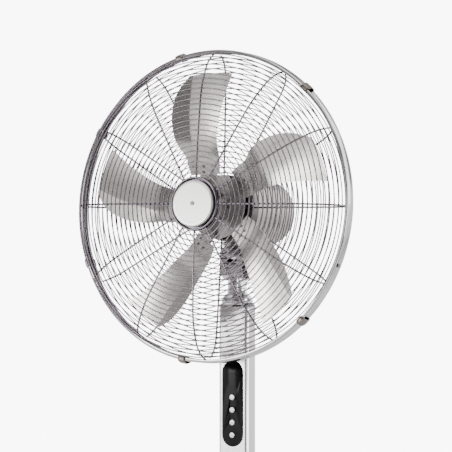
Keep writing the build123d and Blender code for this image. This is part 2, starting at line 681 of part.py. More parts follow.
def cheek(start):
    """One cheek of the tilt fork, from a start plane outwards along +X."""
    with BuildPart() as piece:
        with BuildSketch(HEAD_SIDE.offset(start)):
            with Locations((0, -PIVOT_DROP)):
                Circle(CHEEK_RADIUS)
            with Locations((0, -(PIVOT_DROP + MOTOR_RADIUS) / 2)):
                Rectangle(2 * CHEEK_RADIUS, PIVOT_DROP - MOTOR_RADIUS)
        extrude(amount=CHEEK_THICKNESS)
    return piece


with BuildPart() as tilt_bracket:
    add(cheek(CHEEK_INSIDE).part)
    add(cheek(-CHEEK_OUTSIDE).part)
    with BuildSketch(HEAD_SIDE.offset(-CHEEK_OUTSIDE)):
        bridge_foot = -PIVOT_DROP + CHEEK_RADIUS + 2
        with Locations((0, bridge_foot)):
            Rectangle(BRACKET_DEPTH, -MOTOR_RADIUS + 4 - bridge_foot, align=(Align.CENTER, Align.MIN))
    extrude(amount=2 * CHEEK_OUTSIDE)
    with BuildSketch(HEAD):
        Circle(MOTOR_RADIUS + SEAT_GAP)
    extrude(amount=BRACKET_DEPTH, both=True, mode=Mode.SUBTRACT)
    with BuildSketch(HEAD_SIDE.offset(-CHEEK_OUTSIDE)):
        with Locations((0, -PIVOT_DROP)):
            Circle(TILT_BOLT_RADIUS + SEAT_GAP)
    extrude(amount=2 * CHEEK_OUTSIDE, mode=Mode.SUBTRACT)
save(tilt_bracket, "tilt_bracket")

knob_start = CHEEK_OUTSIDE + BODY_GAP
with BuildPart() as tilt_bolt:
    with BuildSketch(HEAD_SIDE.offset(-CHEEK_OUTSIDE - BOLT_HEAD_HEIGHT)):
        with Locations((0, -PIVOT_DROP)):
            RegularPolygon(BOLT_HEAD_RADIUS, 6)
    extrude(amount=BOLT_HEAD_HEIGHT)
    with BuildSketch(HEAD_SIDE.offset(-CHEEK_OUTSIDE)):
        with Locations((0, -PIVOT_DROP)):
            Circle(TILT_BOLT_RADIUS)
    extrude(amount=CHEEK_OUTSIDE + knob_start + KNOB_LENGTH / 2)
save(tilt_bolt, "tilt_bolt")

with BuildPart() as tilt_knob:
    with BuildSketch(HEAD_SIDE.offset(knob_start)):
        with Locations((0, -PIVOT_DROP)):
            Circle(KNOB_RADIUS)
            with PolarLocations(KNOB_RADIUS + 2, KNOB_LOBES):
                Circle(4, mode=Mode.SUBTRACT)
    extrude(amount=KNOB_LENGTH)
    fillet(tilt_knob.faces().sort_by(Axis.X)[-1].edges(), radius=1.5)
    with BuildSketch(HEAD_SIDE.offset(knob_start)):
        with Locations((0, -PIVOT_DROP)):
            Circle(TILT_BOLT_RADIUS + BODY_GAP)
    extrude(amount=KNOB_LENGTH / 2 + 1, mode=Mode.SUBTRACT)
save(tilt_knob, "tilt_knob")

# ---------------------------------------------------------------- motor

with BuildPart() as motor_front_cover:
    with BuildSketch(HEAD.offset(MOTOR_SPLIT)):
        Circle(MOTOR_RADIUS)
    extrude(amount=MOTOR_FRONT - MOTOR_SPLIT)
    fillet(motor_front_cover.faces().sort_by(HEAD_AXIS)[-1].edges(), radius=5)
    with BuildSketch(HEAD.offset(MOTOR_SPLIT)):
        Circle(MOTOR_INSIDE)
    extrude(amount=MOTOR_FRONT - MOTOR_SPLIT - MOTOR_WALL, mode=Mode.SUBTRACT)
    with BuildSketch(HEAD.offset(MOTOR_SPLIT)):
        Circle(NOSE_RADIUS)
    extrude(amount=MOTOR_FRONT + NOSE_LENGTH - MOTOR_SPLIT)
    with BuildSketch(HEAD.offset(MOTOR_SPLIT)):
        with PolarLocations(MOTOR_SCREW_CIRCLE, 4, start_angle=45):
            Circle(MOTOR_BOSS)
    extrude(amount=MOTOR_FRONT - MOTOR_SPLIT - MOTOR_WALL / 2)
    with BuildSketch(HEAD.offset(MOTOR_SPLIT)):
        with PolarLocations(MOTOR_SCREW_CIRCLE, 4, start_angle=45):
            Circle(SCREW_SHANK + SEAT_GAP)
        Circle(SHAFT_RADIUS + BODY_GAP)
    extrude(amount=MOTOR_FRONT + NOSE_LENGTH - MOTOR_SPLIT, mode=Mode.SUBTRACT)
    with BuildSketch(HEAD.offset(MOTOR_SPLIT)):
        Circle(BEARING_RADIUS + SEAT_GAP)
    extrude(amount=MOTOR_BEARING_LENGTH, mode=Mode.SUBTRACT)
    with BuildSketch(HEAD.offset(MOTOR_SPLIT + MOTOR_WALL)):
        with PolarLocations((VENT_INNER + VENT_OUTER) / 2, VENT_COUNT):
            SlotOverall(VENT_OUTER - VENT_INNER, VENT_WIDTH)
    extrude(amount=MOTOR_FRONT, mode=Mode.SUBTRACT)
save(motor_front_cover, "motor_front_cover")


def motor_shell(inset):
    """Half the rear shell's outline, drawn in by inset: straight side, round shoulder, flat crown."""
    with BuildLine() as outline:
        side = Line((MOTOR_RADIUS - inset, MOTOR_SPLIT), (MOTOR_RADIUS - inset, MOTOR_STRAIGHT))
        shoulder = JernArc(side @ 1, (0, -1), MOTOR_SHOULDER - inset, -MOTOR_SHOULDER_TURN)
        TangentArc(shoulder @ 1, (0, MOTOR_REAR + inset), tangent=shoulder % 1)
        Polyline((0, MOTOR_REAR + inset), (0, MOTOR_SPLIT), side @ 0)
    return outline.edges()


rear_bearing_front = -STATOR_LENGTH / 2 - COIL_LENGTH - 6
rear_bearing_back = rear_bearing_front - MOTOR_BEARING_LENGTH
outer_shell = motor_shell(0)
inner_shell = motor_shell(MOTOR_WALL)
with BuildPart() as motor_rear_cover:
    with BuildSketch(HEAD_SECTION):
        make_face(outer_shell)
    revolve(axis=HEAD_AXIS)
    with BuildSketch(HEAD_SECTION):
        make_face(inner_shell)
    revolve(axis=HEAD_AXIS, mode=Mode.SUBTRACT)
    with BuildSketch(HEAD.offset(rear_bearing_front)):
        Circle(BEARING_RADIUS + 3)
    extrude(amount=MOTOR_REAR + MOTOR_WALL / 2 - rear_bearing_front + 1)
    with BuildSketch(HEAD.offset(rear_bearing_front)):
        Circle(BEARING_RADIUS + SEAT_GAP)
    extrude(amount=-MOTOR_BEARING_LENGTH, mode=Mode.SUBTRACT)
    with BuildSketch(HEAD.offset(MOTOR_SPLIT)):
        with PolarLocations(MOTOR_SCREW_CIRCLE, 4, start_angle=45):
            Circle(MOTOR_BOSS)
    extrude(amount=-MOTOR_BOSS_LENGTH)
    with BuildSketch(HEAD.offset(MOTOR_SPLIT)):
        with PolarLocations(MOTOR_SCREW_CIRCLE, 4, start_angle=45):
            Circle(SCREW_SHANK + SEAT_GAP)
    extrude(amount=-MOTOR_BOSS_LENGTH + 1, mode=Mode.SUBTRACT)
save(motor_rear_cover, "motor_rear_cover")

with BuildPart() as motor_screws:
    with BuildSketch(HEAD.offset(MOTOR_FRONT)):
        with PolarLocations(MOTOR_SCREW_CIRCLE, 4, start_angle=45):
            Circle(SCREW_SHANK)
    extrude(amount=MOTOR_SPLIT - MOTOR_BOSS_LENGTH + 2 - MOTOR_FRONT)
    with BuildSketch(HEAD.offset(MOTOR_FRONT)):
        with PolarLocations(MOTOR_SCREW_CIRCLE, 4, start_angle=45):
            Circle(SCREW_HEAD)
    extrude(amount=SCREW_HEAD_HEIGHT / 2)
save(motor_screws, "motor_screws")

with BuildPart() as stator_core:
    with BuildSketch(HEAD.offset(-STATOR_LENGTH / 2)):
        Circle(MOTOR_INSIDE - SEAT_GAP)
        Circle(STATOR_BORE, mode=Mode.SUBTRACT)
        with PolarLocations((COIL_INNER + COIL_OUTER) / 2, STATOR_SLOTS):
            Rectangle(COIL_OUTER - COIL_INNER, 4, mode=Mode.SUBTRACT)
    extrude(amount=STATOR_LENGTH)
save(stator_core, "stator_core")

with BuildPart() as stator_windings:
    with BuildSketch(HEAD.offset(STATOR_LENGTH / 2)):
        Circle(COIL_OUTER)
        Circle(COIL_INNER, mode=Mode.SUBTRACT)
    extrude(amount=COIL_LENGTH)
    with BuildSketch(HEAD.offset(-STATOR_LENGTH / 2)):
        Circle(COIL_OUTER)
        Circle(COIL_INNER, mode=Mode.SUBTRACT)
    extrude(amount=-COIL_LENGTH)
    fillet(stator_windings.edges().filter_by(GeomType.CIRCLE), radius=1.5)
save(stator_windings, "stator_windings")

front_bearing = tube(
    BEARING_RADIUS, SHAFT_RADIUS + RUN_GAP, MOTOR_SPLIT, MOTOR_SPLIT + MOTOR_BEARING_LENGTH, HEAD
)
save(front_bearing, "front_bearing")
rear_bearing = tube(BEARING_RADIUS, SHAFT_RADIUS + RUN_GAP, rear_bearing_back, rear_bearing_front, HEAD)
save(rear_bearing, "rear_bearing")

# ---------------------------------------------------------------- guard


def dome_wire(dome, inset):
    """A guard's profile from its middle to its edge, as (radius, height) in the XY plane."""
    with BuildLine() as profile:
        start = (HUB_RING_RADIUS - 2, dome["height"] - inset)
        slope = (cos(radians(CROWN_SLOPE)), -sin(radians(CROWN_SLOPE)))
        crown = JernArc(start, slope, dome["crown"] - inset, -dome["crown_turn"])
        shoulder = JernArc(crown @ 1, crown % 1, dome["shoulder"] - inset, -dome["shoulder_turn"])
        JernArc(shoulder @ 1, shoulder % 1, dome["edge"] - inset, -dome["edge_turn"])
    return profile.wires()[0]


def ring_places(dome, first_radius):
    """Each ring's (radius, height over the rim's middle plane), from the middle outwards."""
    profile = dome_wire(dome, 0)
    start = first_radius - HUB_RING_RADIUS + 2
    steps = int((profile.length - start) / RING_PITCH)
    spots = [profile @ ((start + step * RING_PITCH) / profile.length) for step in range(steps)]
    return [(spot.X, spot.Y, RING_WIRE) for spot in spots]


def guard_rings(places, facing):
    """Wire rings of one guard: facing is 1 for the front guard and -1 for the rear one."""
    with BuildPart(HEAD) as rings:
        for radius, height, wire in places:
            with Locations((0, 0, RIM_CENTRE + facing * height)):
                Torus(radius, wire)
    return rings


def guard_spokes(dome, facing):
    """All the spokes of one guard, on the inner side of its rings."""
    profile = dome_wire(dome, RING_TO_SPOKE)
    with BuildPart() as spokes:
        for step in range(SPOKE_COUNT):
            turn = radians(360 / SPOKE_COUNT * step)
            outward = HEAD.x_dir * sin(turn) + HEAD.y_dir * cos(turn)
            centre = HEAD.origin + HEAD.z_dir * RIM_CENTRE
            plane = Plane(origin=centre, x_dir=outward, z_dir=outward.cross(HEAD.z_dir * facing))
            path = plane.from_local_coords(profile)
            with BuildSketch(Plane(path @ 0, z_dir=path % 0)):
                Circle(SPOKE_WIRE)
            sweep(path=path)
    return spokes


# Each guard's rings are welded to its spokes as an inner and an outer group
front_spoke_back = RIM_CENTRE + FRONT_DOME["height"] - RING_TO_SPOKE - SPOKE_WIRE
rim_ring = (RIM_RING_RADIUS, RIM_RING_SPREAD, RIM_RING_WIRE)
hub_ring_height = front_spoke_back + 2 * SPOKE_WIRE + HUB_RING_WIRE - WELD - RIM_CENTRE
hub_ring = (HUB_RING_RADIUS, hub_ring_height, HUB_RING_WIRE)
front_places = ring_places(FRONT_DOME, FRONT_FIRST_RING)
rear_places = ring_places(REAR_DOME, REAR_FIRST_RING)
front_rings_inner = guard_rings([hub_ring] + front_places[:INNER_RINGS], 1)
save(front_rings_inner, "front_rings_inner")
front_rings_outer = guard_rings(front_places[INNER_RINGS:] + [rim_ring], 1)
save(front_rings_outer, "front_rings_outer")
front_guard_spokes = guard_spokes(FRONT_DOME, 1)
save(front_guard_spokes, "front_guard_spokes")
rear_rings_inner = guard_rings(rear_places[:INNER_RINGS], -1)
save(rear_rings_inner, "rear_rings_inner")
rear_rings_outer = guard_rings(rear_places[INNER_RINGS:] + [rim_ring], -1)
save(rear_rings_outer, "rear_rings_outer")
rear_guard_spokes = guard_spokes(REAR_DOME, -1)
save(rear_guard_spokes, "rear_guard_spokes")

with BuildPart() as front_hub_plate:
    with BuildSketch(HEAD.offset(front_spoke_back + WELD)):
        Circle(HUB_PLATE_RADIUS)
        Circle(BADGE_SCREW_RADIUS / 2 + SEAT_GAP, mode=Mode.SUBTRACT)
    extrude(amount=-HUB_PLATE_SHEET)
save(front_hub_plate, "front_hub_plate")

badge_back = front_spoke_back + 2 * SPOKE_WIRE
badge_front = badge_back + BADGE_DEPTH
with BuildPart() as badge_disc:
    with BuildSketch(HEAD.offset(badge_back)):
        Circle(BADGE_RADIUS)
    extrude(amount=BADGE_DEPTH)
    fillet(badge_disc.faces().sort_by(HEAD_AXIS)[-1].edges(), radius=2.5)
    with BuildSketch(HEAD.offset(badge_back)):
        Circle(BADGE_RADIUS - BADGE_SHEET)
    extrude(amount=BADGE_DEPTH - BADGE_SHEET, mode=Mode.SUBTRACT)
    with BuildSketch(HEAD.offset(badge_back)):
        Circle(BADGE_SCREW_RADIUS / 2 + SEAT_GAP)
    extrude(amount=BADGE_DEPTH, mode=Mode.SUBTRACT)
save(badge_disc, "badge_disc")

rear_guard_plate = tube(
    REAR_PLATE_RADIUS, NOSE_RADIUS + BODY_GAP, MOTOR_FRONT, REAR_SPOKE_BACK + WELD, HEAD
)
save(rear_guard_plate, "rear_guard_plate")

with BuildPart() as guard_nut:
    with BuildSketch(HEAD.offset(REAR_SPOKE_BACK + WELD)):
        Circle(GUARD_NUT_RADIUS)
        Circle(NOSE_RADIUS + SEAT_GAP, mode=Mode.SUBTRACT)
        with PolarLocations(GUARD_NUT_RADIUS + 1, 8):
            Circle(2, mode=Mode.SUBTRACT)
    extrude(amount=GUARD_NUT_LENGTH)
save(guard_nut, "guard_nut")

def rim_section(angle):
    """The plane through the fan's axis at an angle clockwise from the top, seen from the front."""
    turn = radians(angle)
    outward = HEAD.x_dir * sin(turn) + HEAD.y_dir * cos(turn)
    return Plane(origin=HEAD.origin, x_dir=outward, z_dir=outward.cross(HEAD.z_dir))


rim_half = RIM_WIDTH / 2
with BuildPart() as rim_band:
    with BuildSketch(HEAD_SECTION):
        with BuildLine():
            Polyline(
                (RIM_RADIUS, RIM_CENTRE - rim_half),
                (RIM_RADIUS, RIM_CENTRE + rim_half),
                (RIM_INSIDE - RIM_LIP, RIM_CENTRE + rim_half),
                (RIM_INSIDE - RIM_LIP, RIM_CENTRE + rim_half - RIM_SHEET),
                (RIM_INSIDE, RIM_CENTRE + rim_half - RIM_SHEET),
                (RIM_INSIDE, RIM_CENTRE - rim_half + RIM_SHEET),
                (RIM_INSIDE - RIM_LIP, RIM_CENTRE - rim_half + RIM_SHEET),
                (RIM_INSIDE - RIM_LIP, RIM_CENTRE - rim_half),
                close=True,
            )
        make_face()
    revolve(axis=HEAD_AXIS)
    screw_outward = rim_section(BAND_SCREW_ANGLE).x_dir
    screw_foot = HEAD.origin + screw_outward * (RIM_INSIDE - RIM_LIP) + HEAD.z_dir * RIM_CENTRE
    with BuildSketch(Plane(origin=screw_foot, x_dir=HEAD.z_dir, z_dir=screw_outward)):
        Circle(BADGE_SCREW_RADIUS / 2 + SEAT_GAP)
    extrude(amount=2 * RIM_LIP, mode=Mode.SUBTRACT)
save(rim_band, "rim_band")


# Folded clips: a saddle over the band with a hook at each edge, and a raised lever
with BuildPart() as rim_clips:
    clip_inner = RIM_RADIUS + SEAT_GAP
    clip_half = rim_half + SEAT_GAP
    for angle in CLIP_ANGLES:
        with BuildSketch(rim_section(angle)):
            with BuildLine():
                Polyline(
                    (clip_inner, RIM_CENTRE + clip_half),
                    (clip_inner - CLIP_HOOK, RIM_CENTRE + clip_half),
                    (clip_inner - CLIP_HOOK, RIM_CENTRE + clip_half + CLIP_SHEET),
                    (clip_inner + CLIP_SHEET, RIM_CENTRE + clip_half + CLIP_SHEET),
                    (clip_inner + CLIP_LEVER_RISE, RIM_CENTRE + 2),
                    (clip_inner + CLIP_SHEET, RIM_CENTRE - clip_half - CLIP_SHEET),
                    (clip_inner - CLIP_HOOK, RIM_CENTRE - clip_half - CLIP_SHEET),
                    (clip_inner - CLIP_HOOK, RIM_CENTRE - clip_half),
                    (clip_inner, RIM_CENTRE - clip_half),
                    close=True,
                )
            make_face()
        revolve(axis=HEAD_AXIS, revolution_arc=CLIP_LENGTH / radians(1) / RIM_RADIUS)
save(rim_clips, "rim_clips")

# Two like screws: one through the badge into the hub plate, one closing the band's joint
badge_screw_plane = HEAD.offset(badge_front)
screw_outward = rim_section(BAND_SCREW_ANGLE).x_dir
screw_foot = HEAD.origin + screw_outward * RIM_RADIUS + HEAD.z_dir * RIM_CENTRE
band_screw_plane = Plane(origin=screw_foot, x_dir=HEAD.z_dir, z_dir=screw_outward)
badge_shank = badge_front - front_spoke_back + HUB_PLATE_SHEET + 2
with BuildPart() as trim_screws:
    for screw_plane, shank in ((badge_screw_plane, badge_shank), (band_screw_plane, RIM_SHEET)):
        with BuildSketch(screw_plane):
            Circle(BADGE_SCREW_RADIUS)
        extrude(amount=1.4)
        with BuildSketch(screw_plane):
            Circle(BADGE_SCREW_RADIUS / 2)
        extrude(amount=-shank)
save(trim_screws, "trim_screws")

# ---------------------------------------------------------------- rotor

rotor_shaft = tube(SHAFT_RADIUS, 0.5, rear_bearing_back, HUB_DISC_PLACE + HUB_BOSS_LENGTH + 6, HEAD)
save(rotor_shaft, "rotor_shaft")

rotor_core = tube(
    STATOR_BORE - AIR_GAP, SHAFT_RADIUS + SEAT_GAP, -STATOR_LENGTH / 2, STATOR_LENGTH / 2, HEAD
)
save(rotor_core, "rotor_core")


def blade_angle(number):
    """The angle of a blade's middle line, clockwise from the top."""
    return BLADE_FIRST_ANGLE + 360 / BLADE_COUNT * number


def blade_plane(angle, radius):
    """A plane across a blade: x towards its trailing edge, y forward, z outward."""
    turn = radians(angle)
    outward = HEAD.x_dir * sin(turn) + HEAD.y_dir * cos(turn)
    return Plane(origin=HEAD.origin + outward * radius, x_dir=HEAD.z_dir.cross(outward), z_dir=outward)


def blade_section(nose, tail, pitch, bend, lead, forward):
    """Six corners of a bent sheet: leading edge, crease and trailing edge, rear side then front side."""
    rear = [
        (-lead - nose * cos(radians(pitch)), forward - nose * sin(radians(pitch))),
        (-lead, forward),
        (-lead + tail * cos(radians(pitch + bend)), forward + tail * sin(radians(pitch + bend))),
    ]
    return rear + [(x, y + BLADE_SHEET) for x, y in reversed(rear)]


def make_blade(number):
    """One pressed blade, lofted through its stations and trimmed to a rounded tip."""
    angle = blade_angle(number)
    with BuildPart() as blade:
        for radius, *section in BLADE_STATIONS:
            with BuildSketch(blade_plane(angle, radius)):
                Polygon(*blade_section(*section), align=None)
        loft(ruled=True)
        with BuildSketch(HEAD):
            Circle(BLADE_TIP)
        extrude(amount=RIM_CENTRE + FRONT_DOME["height"], mode=Mode.INTERSECT)
    return blade


for number in range(BLADE_COUNT):
    save(make_blade(number), f"blade_{number + 1}")


def arm_plane(number):
    """The rear face of a blade's root, which its arm lies against: x outward, z forward."""
    across = blade_plane(blade_angle(number), 0)
    _, nose, _, pitch, _, lead, forward = BLADE_STATIONS[0]
    tilted = across.x_dir * cos(radians(pitch)) + across.y_dir * sin(radians(pitch))
    origin = across.origin - across.x_dir * lead + across.y_dir * forward - tilted * nose / 2
    return Plane(origin=origin, x_dir=across.z_dir, z_dir=across.z_dir.cross(tilted))


# Spider: a boss, a disc and one pitched arm behind each blade
arm_start = HUB_DISC_RADIUS - 16
with BuildPart() as blade_hub:
    with BuildSketch(HEAD.offset(HUB_DISC_PLACE)):
        Circle(HUB_DISC_RADIUS)
    extrude(amount=-HUB_DISC_SHEET)
    with BuildSketch(HEAD.offset(HUB_DISC_PLACE - HUB_DISC_SHEET)):
        Circle(HUB_BOSS_RADIUS)
    extrude(amount=HUB_BOSS_LENGTH)
    for number in range(BLADE_COUNT):
        with BuildSketch(arm_plane(number)):
            with Locations(((arm_start + ARM_LENGTH) / 2, 0)):
                RectangleRounded(ARM_LENGTH - arm_start, ARM_WIDTH, 5)
        extrude(amount=-HUB_DISC_SHEET)
    with BuildSketch(HEAD.offset(HUB_DISC_PLACE - HUB_DISC_SHEET)):
        Circle(SHAFT_RADIUS + SEAT_GAP)
        with PolarLocations(HUB_SCREW_CIRCLE, HUB_SCREW_COUNT):
            Circle(SCREW_SHANK + SEAT_GAP)
    extrude(amount=HUB_BOSS_LENGTH, mode=Mode.SUBTRACT)
save(blade_hub, "blade_hub")

with BuildPart() as hub_screws:
    with BuildSketch(HEAD.offset(HUB_DISC_PLACE)):
        with PolarLocations(HUB_SCREW_CIRCLE, HUB_SCREW_COUNT):
            Circle(SCREW_HEAD)
    extrude(amount=SCREW_HEAD_HEIGHT / 2)
    with BuildSketch(HEAD.offset(HUB_DISC_PLACE)):
        with PolarLocations(HUB_SCREW_CIRCLE, HUB_SCREW_COUNT):
            Circle(SCREW_SHANK)
    extrude(amount=-HUB_DISC_SHEET)
save(hub_screws, "hub_screws")

# Rivets through each blade's root and its arm, with a head on both sides
with BuildPart() as blade_rivets:
    rivet_places = [(radius, side * ARM_WIDTH / 4) for radius in RIVET_RADII for side in (-1, 1)]
    for number in range(BLADE_COUNT):
        rivet_rear = arm_plane(number).offset(-HUB_DISC_SHEET - RIVET_HEAD)
        with BuildSketch(rivet_rear):
            with Locations(*rivet_places):
                Circle(RIVET_RADIUS)
        extrude(amount=RIVET_HEAD)
        with BuildSketch(rivet_rear):
            with Locations(*rivet_places):
                Circle(RIVET_RADIUS / 2)
        extrude(amount=HUB_DISC_SHEET + BLADE_SHEET + 2 * RIVET_HEAD)
        with BuildSketch(arm_plane(number).offset(BLADE_SHEET)):
            with Locations(*rivet_places):
                Circle(RIVET_RADIUS)
        extrude(amount=RIVET_HEAD)
save(blade_rivets, "blade_rivets")

with BuildPart() as hub_nut:
    nut_start = HUB_DISC_PLACE - HUB_DISC_SHEET + HUB_BOSS_LENGTH
    with BuildSketch(HEAD.offset(nut_start)):
        Circle(HUB_NUT_RADIUS)
    extrude(amount=HUB_NUT_LENGTH)
    fillet(hub_nut.faces().sort_by(HEAD_AXIS)[-1].edges(), radius=3)
    with BuildSketch(HEAD.offset(nut_start)):
        Circle(SHAFT_RADIUS + SEAT_GAP)
    extrude(amount=HUB_NUT_LENGTH - 1, mode=Mode.SUBTRACT)
save(hub_nut, "hub_nut")
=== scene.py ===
import json
import math

import bmesh
import bpy
import numpy as np
from mathutils import Matrix, Vector


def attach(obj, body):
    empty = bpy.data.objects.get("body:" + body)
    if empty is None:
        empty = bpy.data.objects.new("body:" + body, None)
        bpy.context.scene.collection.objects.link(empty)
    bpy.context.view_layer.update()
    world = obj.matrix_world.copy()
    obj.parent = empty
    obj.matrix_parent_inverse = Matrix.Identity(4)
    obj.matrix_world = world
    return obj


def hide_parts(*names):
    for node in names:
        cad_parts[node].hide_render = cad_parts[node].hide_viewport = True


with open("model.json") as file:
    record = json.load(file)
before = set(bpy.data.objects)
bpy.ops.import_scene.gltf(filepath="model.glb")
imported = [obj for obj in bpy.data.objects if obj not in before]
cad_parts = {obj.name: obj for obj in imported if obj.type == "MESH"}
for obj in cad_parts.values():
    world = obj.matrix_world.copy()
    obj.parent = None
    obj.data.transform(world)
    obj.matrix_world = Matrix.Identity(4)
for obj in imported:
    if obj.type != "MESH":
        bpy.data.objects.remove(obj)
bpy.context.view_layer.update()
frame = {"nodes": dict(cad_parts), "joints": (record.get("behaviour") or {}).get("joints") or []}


# ------------------------------------------------------------------ the room
# A plain pale floor and soft white light from wide panels, so that the bright metal has
# both light and grey to mirror.

def linear(hex_colour):
    """An sRGB hex colour as linear red, green, blue and alpha."""
    shades = [int(hex_colour[i:i + 2], 16) / 255 for i in (1, 3, 5)]
    return [c / 12.92 if c <= 0.04045 else ((c + 0.055) / 1.055) ** 2.4 for c in shades] + [1]


def add_node(tree, kind, links=None, settings=None, **values):
    """Adds one node: links feed its inputs, settings are attributes and values are input values."""
    node = tree.nodes.new(kind)
    for key, value in (settings or {}).items():
        setattr(node, key, value)
    for key, value in values.items():
        node.inputs[key.replace("_", " ")].default_value = value
    for key, socket in (links or {}).items():
        tree.links.new(socket, node.inputs[key])
    return node


head_joint = next(j for j in frame["joints"] if j["name"] == "blade_spin")
HEAD_POINT = Vector(head_joint["pos_m"])
HEAD_FORWARD = Vector(head_joint["axis"]).normalized()
HEAD_RIGHT = Vector((1, 0, 0))
HEAD_UP = HEAD_FORWARD.cross(HEAD_RIGHT)
HEAD = Matrix((HEAD_RIGHT, HEAD_UP, HEAD_FORWARD)).transposed().to_4x4()
HEAD.translation = HEAD_POINT

RIM_CENTRE = 0.073
rim_middle = HEAD @ Vector((0, 0, RIM_CENTRE))

camera_data = bpy.data.cameras.new("camera")
camera = bpy.data.objects.new("camera", camera_data)
bpy.context.scene.collection.objects.link(camera)
CAMERA_TURN = math.radians(31.3)
CAMERA_DISTANCE = 7.0
VIEW_WIDTH = 452 / 668
SENSOR_WIDTH = 36
towards_camera = Vector((math.sin(CAMERA_TURN), -math.cos(CAMERA_TURN), 0))
camera_right = Vector((math.cos(CAMERA_TURN), math.sin(CAMERA_TURN), 0))
aim = rim_middle + camera_right * 0.0175 - Vector((0, 0, 0.0293))
camera.location = aim + towards_camera * CAMERA_DISTANCE
camera.rotation_mode = "QUATERNION"
camera.rotation_quaternion = (-towards_camera).to_track_quat("-Z", "Y")
camera_data.sensor_width = SENSOR_WIDTH
camera_data.lens = SENSOR_WIDTH * CAMERA_DISTANCE / VIEW_WIDTH
camera_data.clip_end = 60
bpy.context.scene.camera = camera

world = bpy.data.worlds.new("studio")
bpy.context.scene.world = world
world.use_nodes = True
sky = world.node_tree
sky.nodes.clear()
direction = add_node(sky, "ShaderNodeTexCoord")
height = add_node(sky, "ShaderNodeSeparateXYZ", {"Vector": direction.outputs["Generated"]})
level = add_node(sky, "ShaderNodeMapRange", {"Value": height.outputs["Z"]}, From_Min=-1.0, From_Max=1.0)
studio = add_node(sky, "ShaderNodeValToRGB", {"Fac": level.outputs["Result"]})
# grey floor, a bright band at eye level, a grey gap and a bright ceiling
for place, shade in ((0.0, 0.16), (0.34, 0.08), (0.41, 1.0), (0.56, 1.15), (0.61, 0.26), (0.75, 0.2),
                     (0.84, 0.6), (1.0, 0.8)):
    stop = studio.color_ramp.elements.new(place)
    stop.color = (shade, shade * 0.985, shade * 0.975, 1)
studio.color_ramp.elements.remove(studio.color_ramp.elements[0])
studio.color_ramp.elements.remove(studio.color_ramp.elements[-1])
# the room's own dark end, in front of the fan and to its right
DARK_END = math.radians(34)
facing_dark = add_node(sky, "ShaderNodeVectorMath", {0: direction.outputs["Generated"]},
                       {"operation": "DOT_PRODUCT"})
facing_dark.inputs[1].default_value = (math.sin(DARK_END), -math.cos(DARK_END), 0)
dimmed = add_node(sky, "ShaderNodeMapRange", {"Value": facing_dark.outputs["Value"]},
                  From_Min=0.78, From_Max=0.92, To_Min=1.0, To_Max=0.1)
room = add_node(sky, "ShaderNodeVectorMath", {0: studio.outputs["Color"]}, {"operation": "SCALE"})
sky.links.new(dimmed.outputs["Result"], room.inputs["Scale"])
plain = add_node(sky, "ShaderNodeBackground", Color=(1, 1, 1, 1), Strength=9.0)
lit = add_node(sky, "ShaderNodeBackground", {"Color": room.outputs["Vector"]}, Strength=2.1)
seen = add_node(sky, "ShaderNodeLightPath")
either = add_node(sky, "ShaderNodeMixShader", {"Fac": seen.outputs["Is Camera Ray"]})
sky.links.new(lit.outputs[0], either.inputs[1])
sky.links.new(plain.outputs[0], either.inputs[2])
add_node(sky, "ShaderNodeOutputWorld", {"Surface": either.outputs[0]})


def panel_light(name, place, target, width, height_m, power):
    """A soft rectangular lamp at place, facing target."""
    lamp = bpy.data.lights.new(name, "AREA")
    lamp.shape = "RECTANGLE"
    lamp.size = width
    lamp.size_y = height_m
    lamp.energy = power
    holder = bpy.data.objects.new(name, lamp)
    bpy.context.scene.collection.objects.link(holder)
    holder.location = place
    holder.rotation_mode = "QUATERNION"
    holder.rotation_quaternion = (Vector(target) - Vector(place)).to_track_quat("-Z", "Y")


panel_light("light_over", (0.3, -1.2, 3.2), (0, 0, 0.9), 2.0, 2.0, 28)
panel_light("light_right", (2.8, 0.6, 1.4), (0, 0, 0.9), 1.0, 2.2, 60)
panel_light("light_left", (-1.6, -2.4, 1.0), (0, 0, 1.0), 1.6, 0.6, 42)
panel_light("light_behind", (0.6, 2.4, 1.8), (0, 0, 0.9), 1.8, 1.6, 30)


def surface(name, colour, metallic, roughness, **more):
    """A new material with its principled shader, for the caller to add texture to."""
    made = bpy.data.materials.new(name)
    made.use_nodes = True
    tree = made.node_tree
    shader = tree.nodes["Principled BSDF"]
    shader.inputs["Base Color"].default_value = linear(colour)
    shader.inputs["Metallic"].default_value = metallic
    shader.inputs["Roughness"].default_value = roughness
    for key, value in more.items():
        shader.inputs[key.replace("_", " ")].default_value = value
    return made, tree, shader


def mottle(tree, shader, grain_mm, colours, roughs, stretch=(1, 1, 1), bump=0.0):
    """Fine unevenness: noise of that grain size between two colours and two roughnesses."""
    place = add_node(tree, "ShaderNodeTexCoord")
    sized = add_node(tree, "ShaderNodeMapping", {"Vector": place.outputs["Object"]}, Scale=stretch)
    noise = add_node(tree, "ShaderNodeTexNoise", {"Vector": sized.outputs[0]},
                     Scale=1000 / grain_mm, Detail=3.0, Roughness=0.6)
    tint = add_node(tree, "ShaderNodeValToRGB", {"Fac": noise.outputs["Fac"]})
    tint.color_ramp.elements[0].position = 0.3
    tint.color_ramp.elements[1].position = 0.7
    tint.color_ramp.elements[0].color = linear(colours[0])
    tint.color_ramp.elements[1].color = linear(colours[1])
    tree.links.new(tint.outputs["Color"], shader.inputs["Base Color"])
    rough = add_node(tree, "ShaderNodeMapRange", {"Value": noise.outputs["Fac"]},
                     From_Min=0.3, From_Max=0.7, To_Min=roughs[0], To_Max=roughs[1])
    tree.links.new(rough.outputs["Result"], shader.inputs["Roughness"])
    if bump:
        raised = add_node(tree, "ShaderNodeBump", {"Height": noise.outputs["Fac"]},
                          Strength=0.4, Distance=bump / 1000)
        tree.links.new(raised.outputs["Normal"], shader.inputs["Normal"])


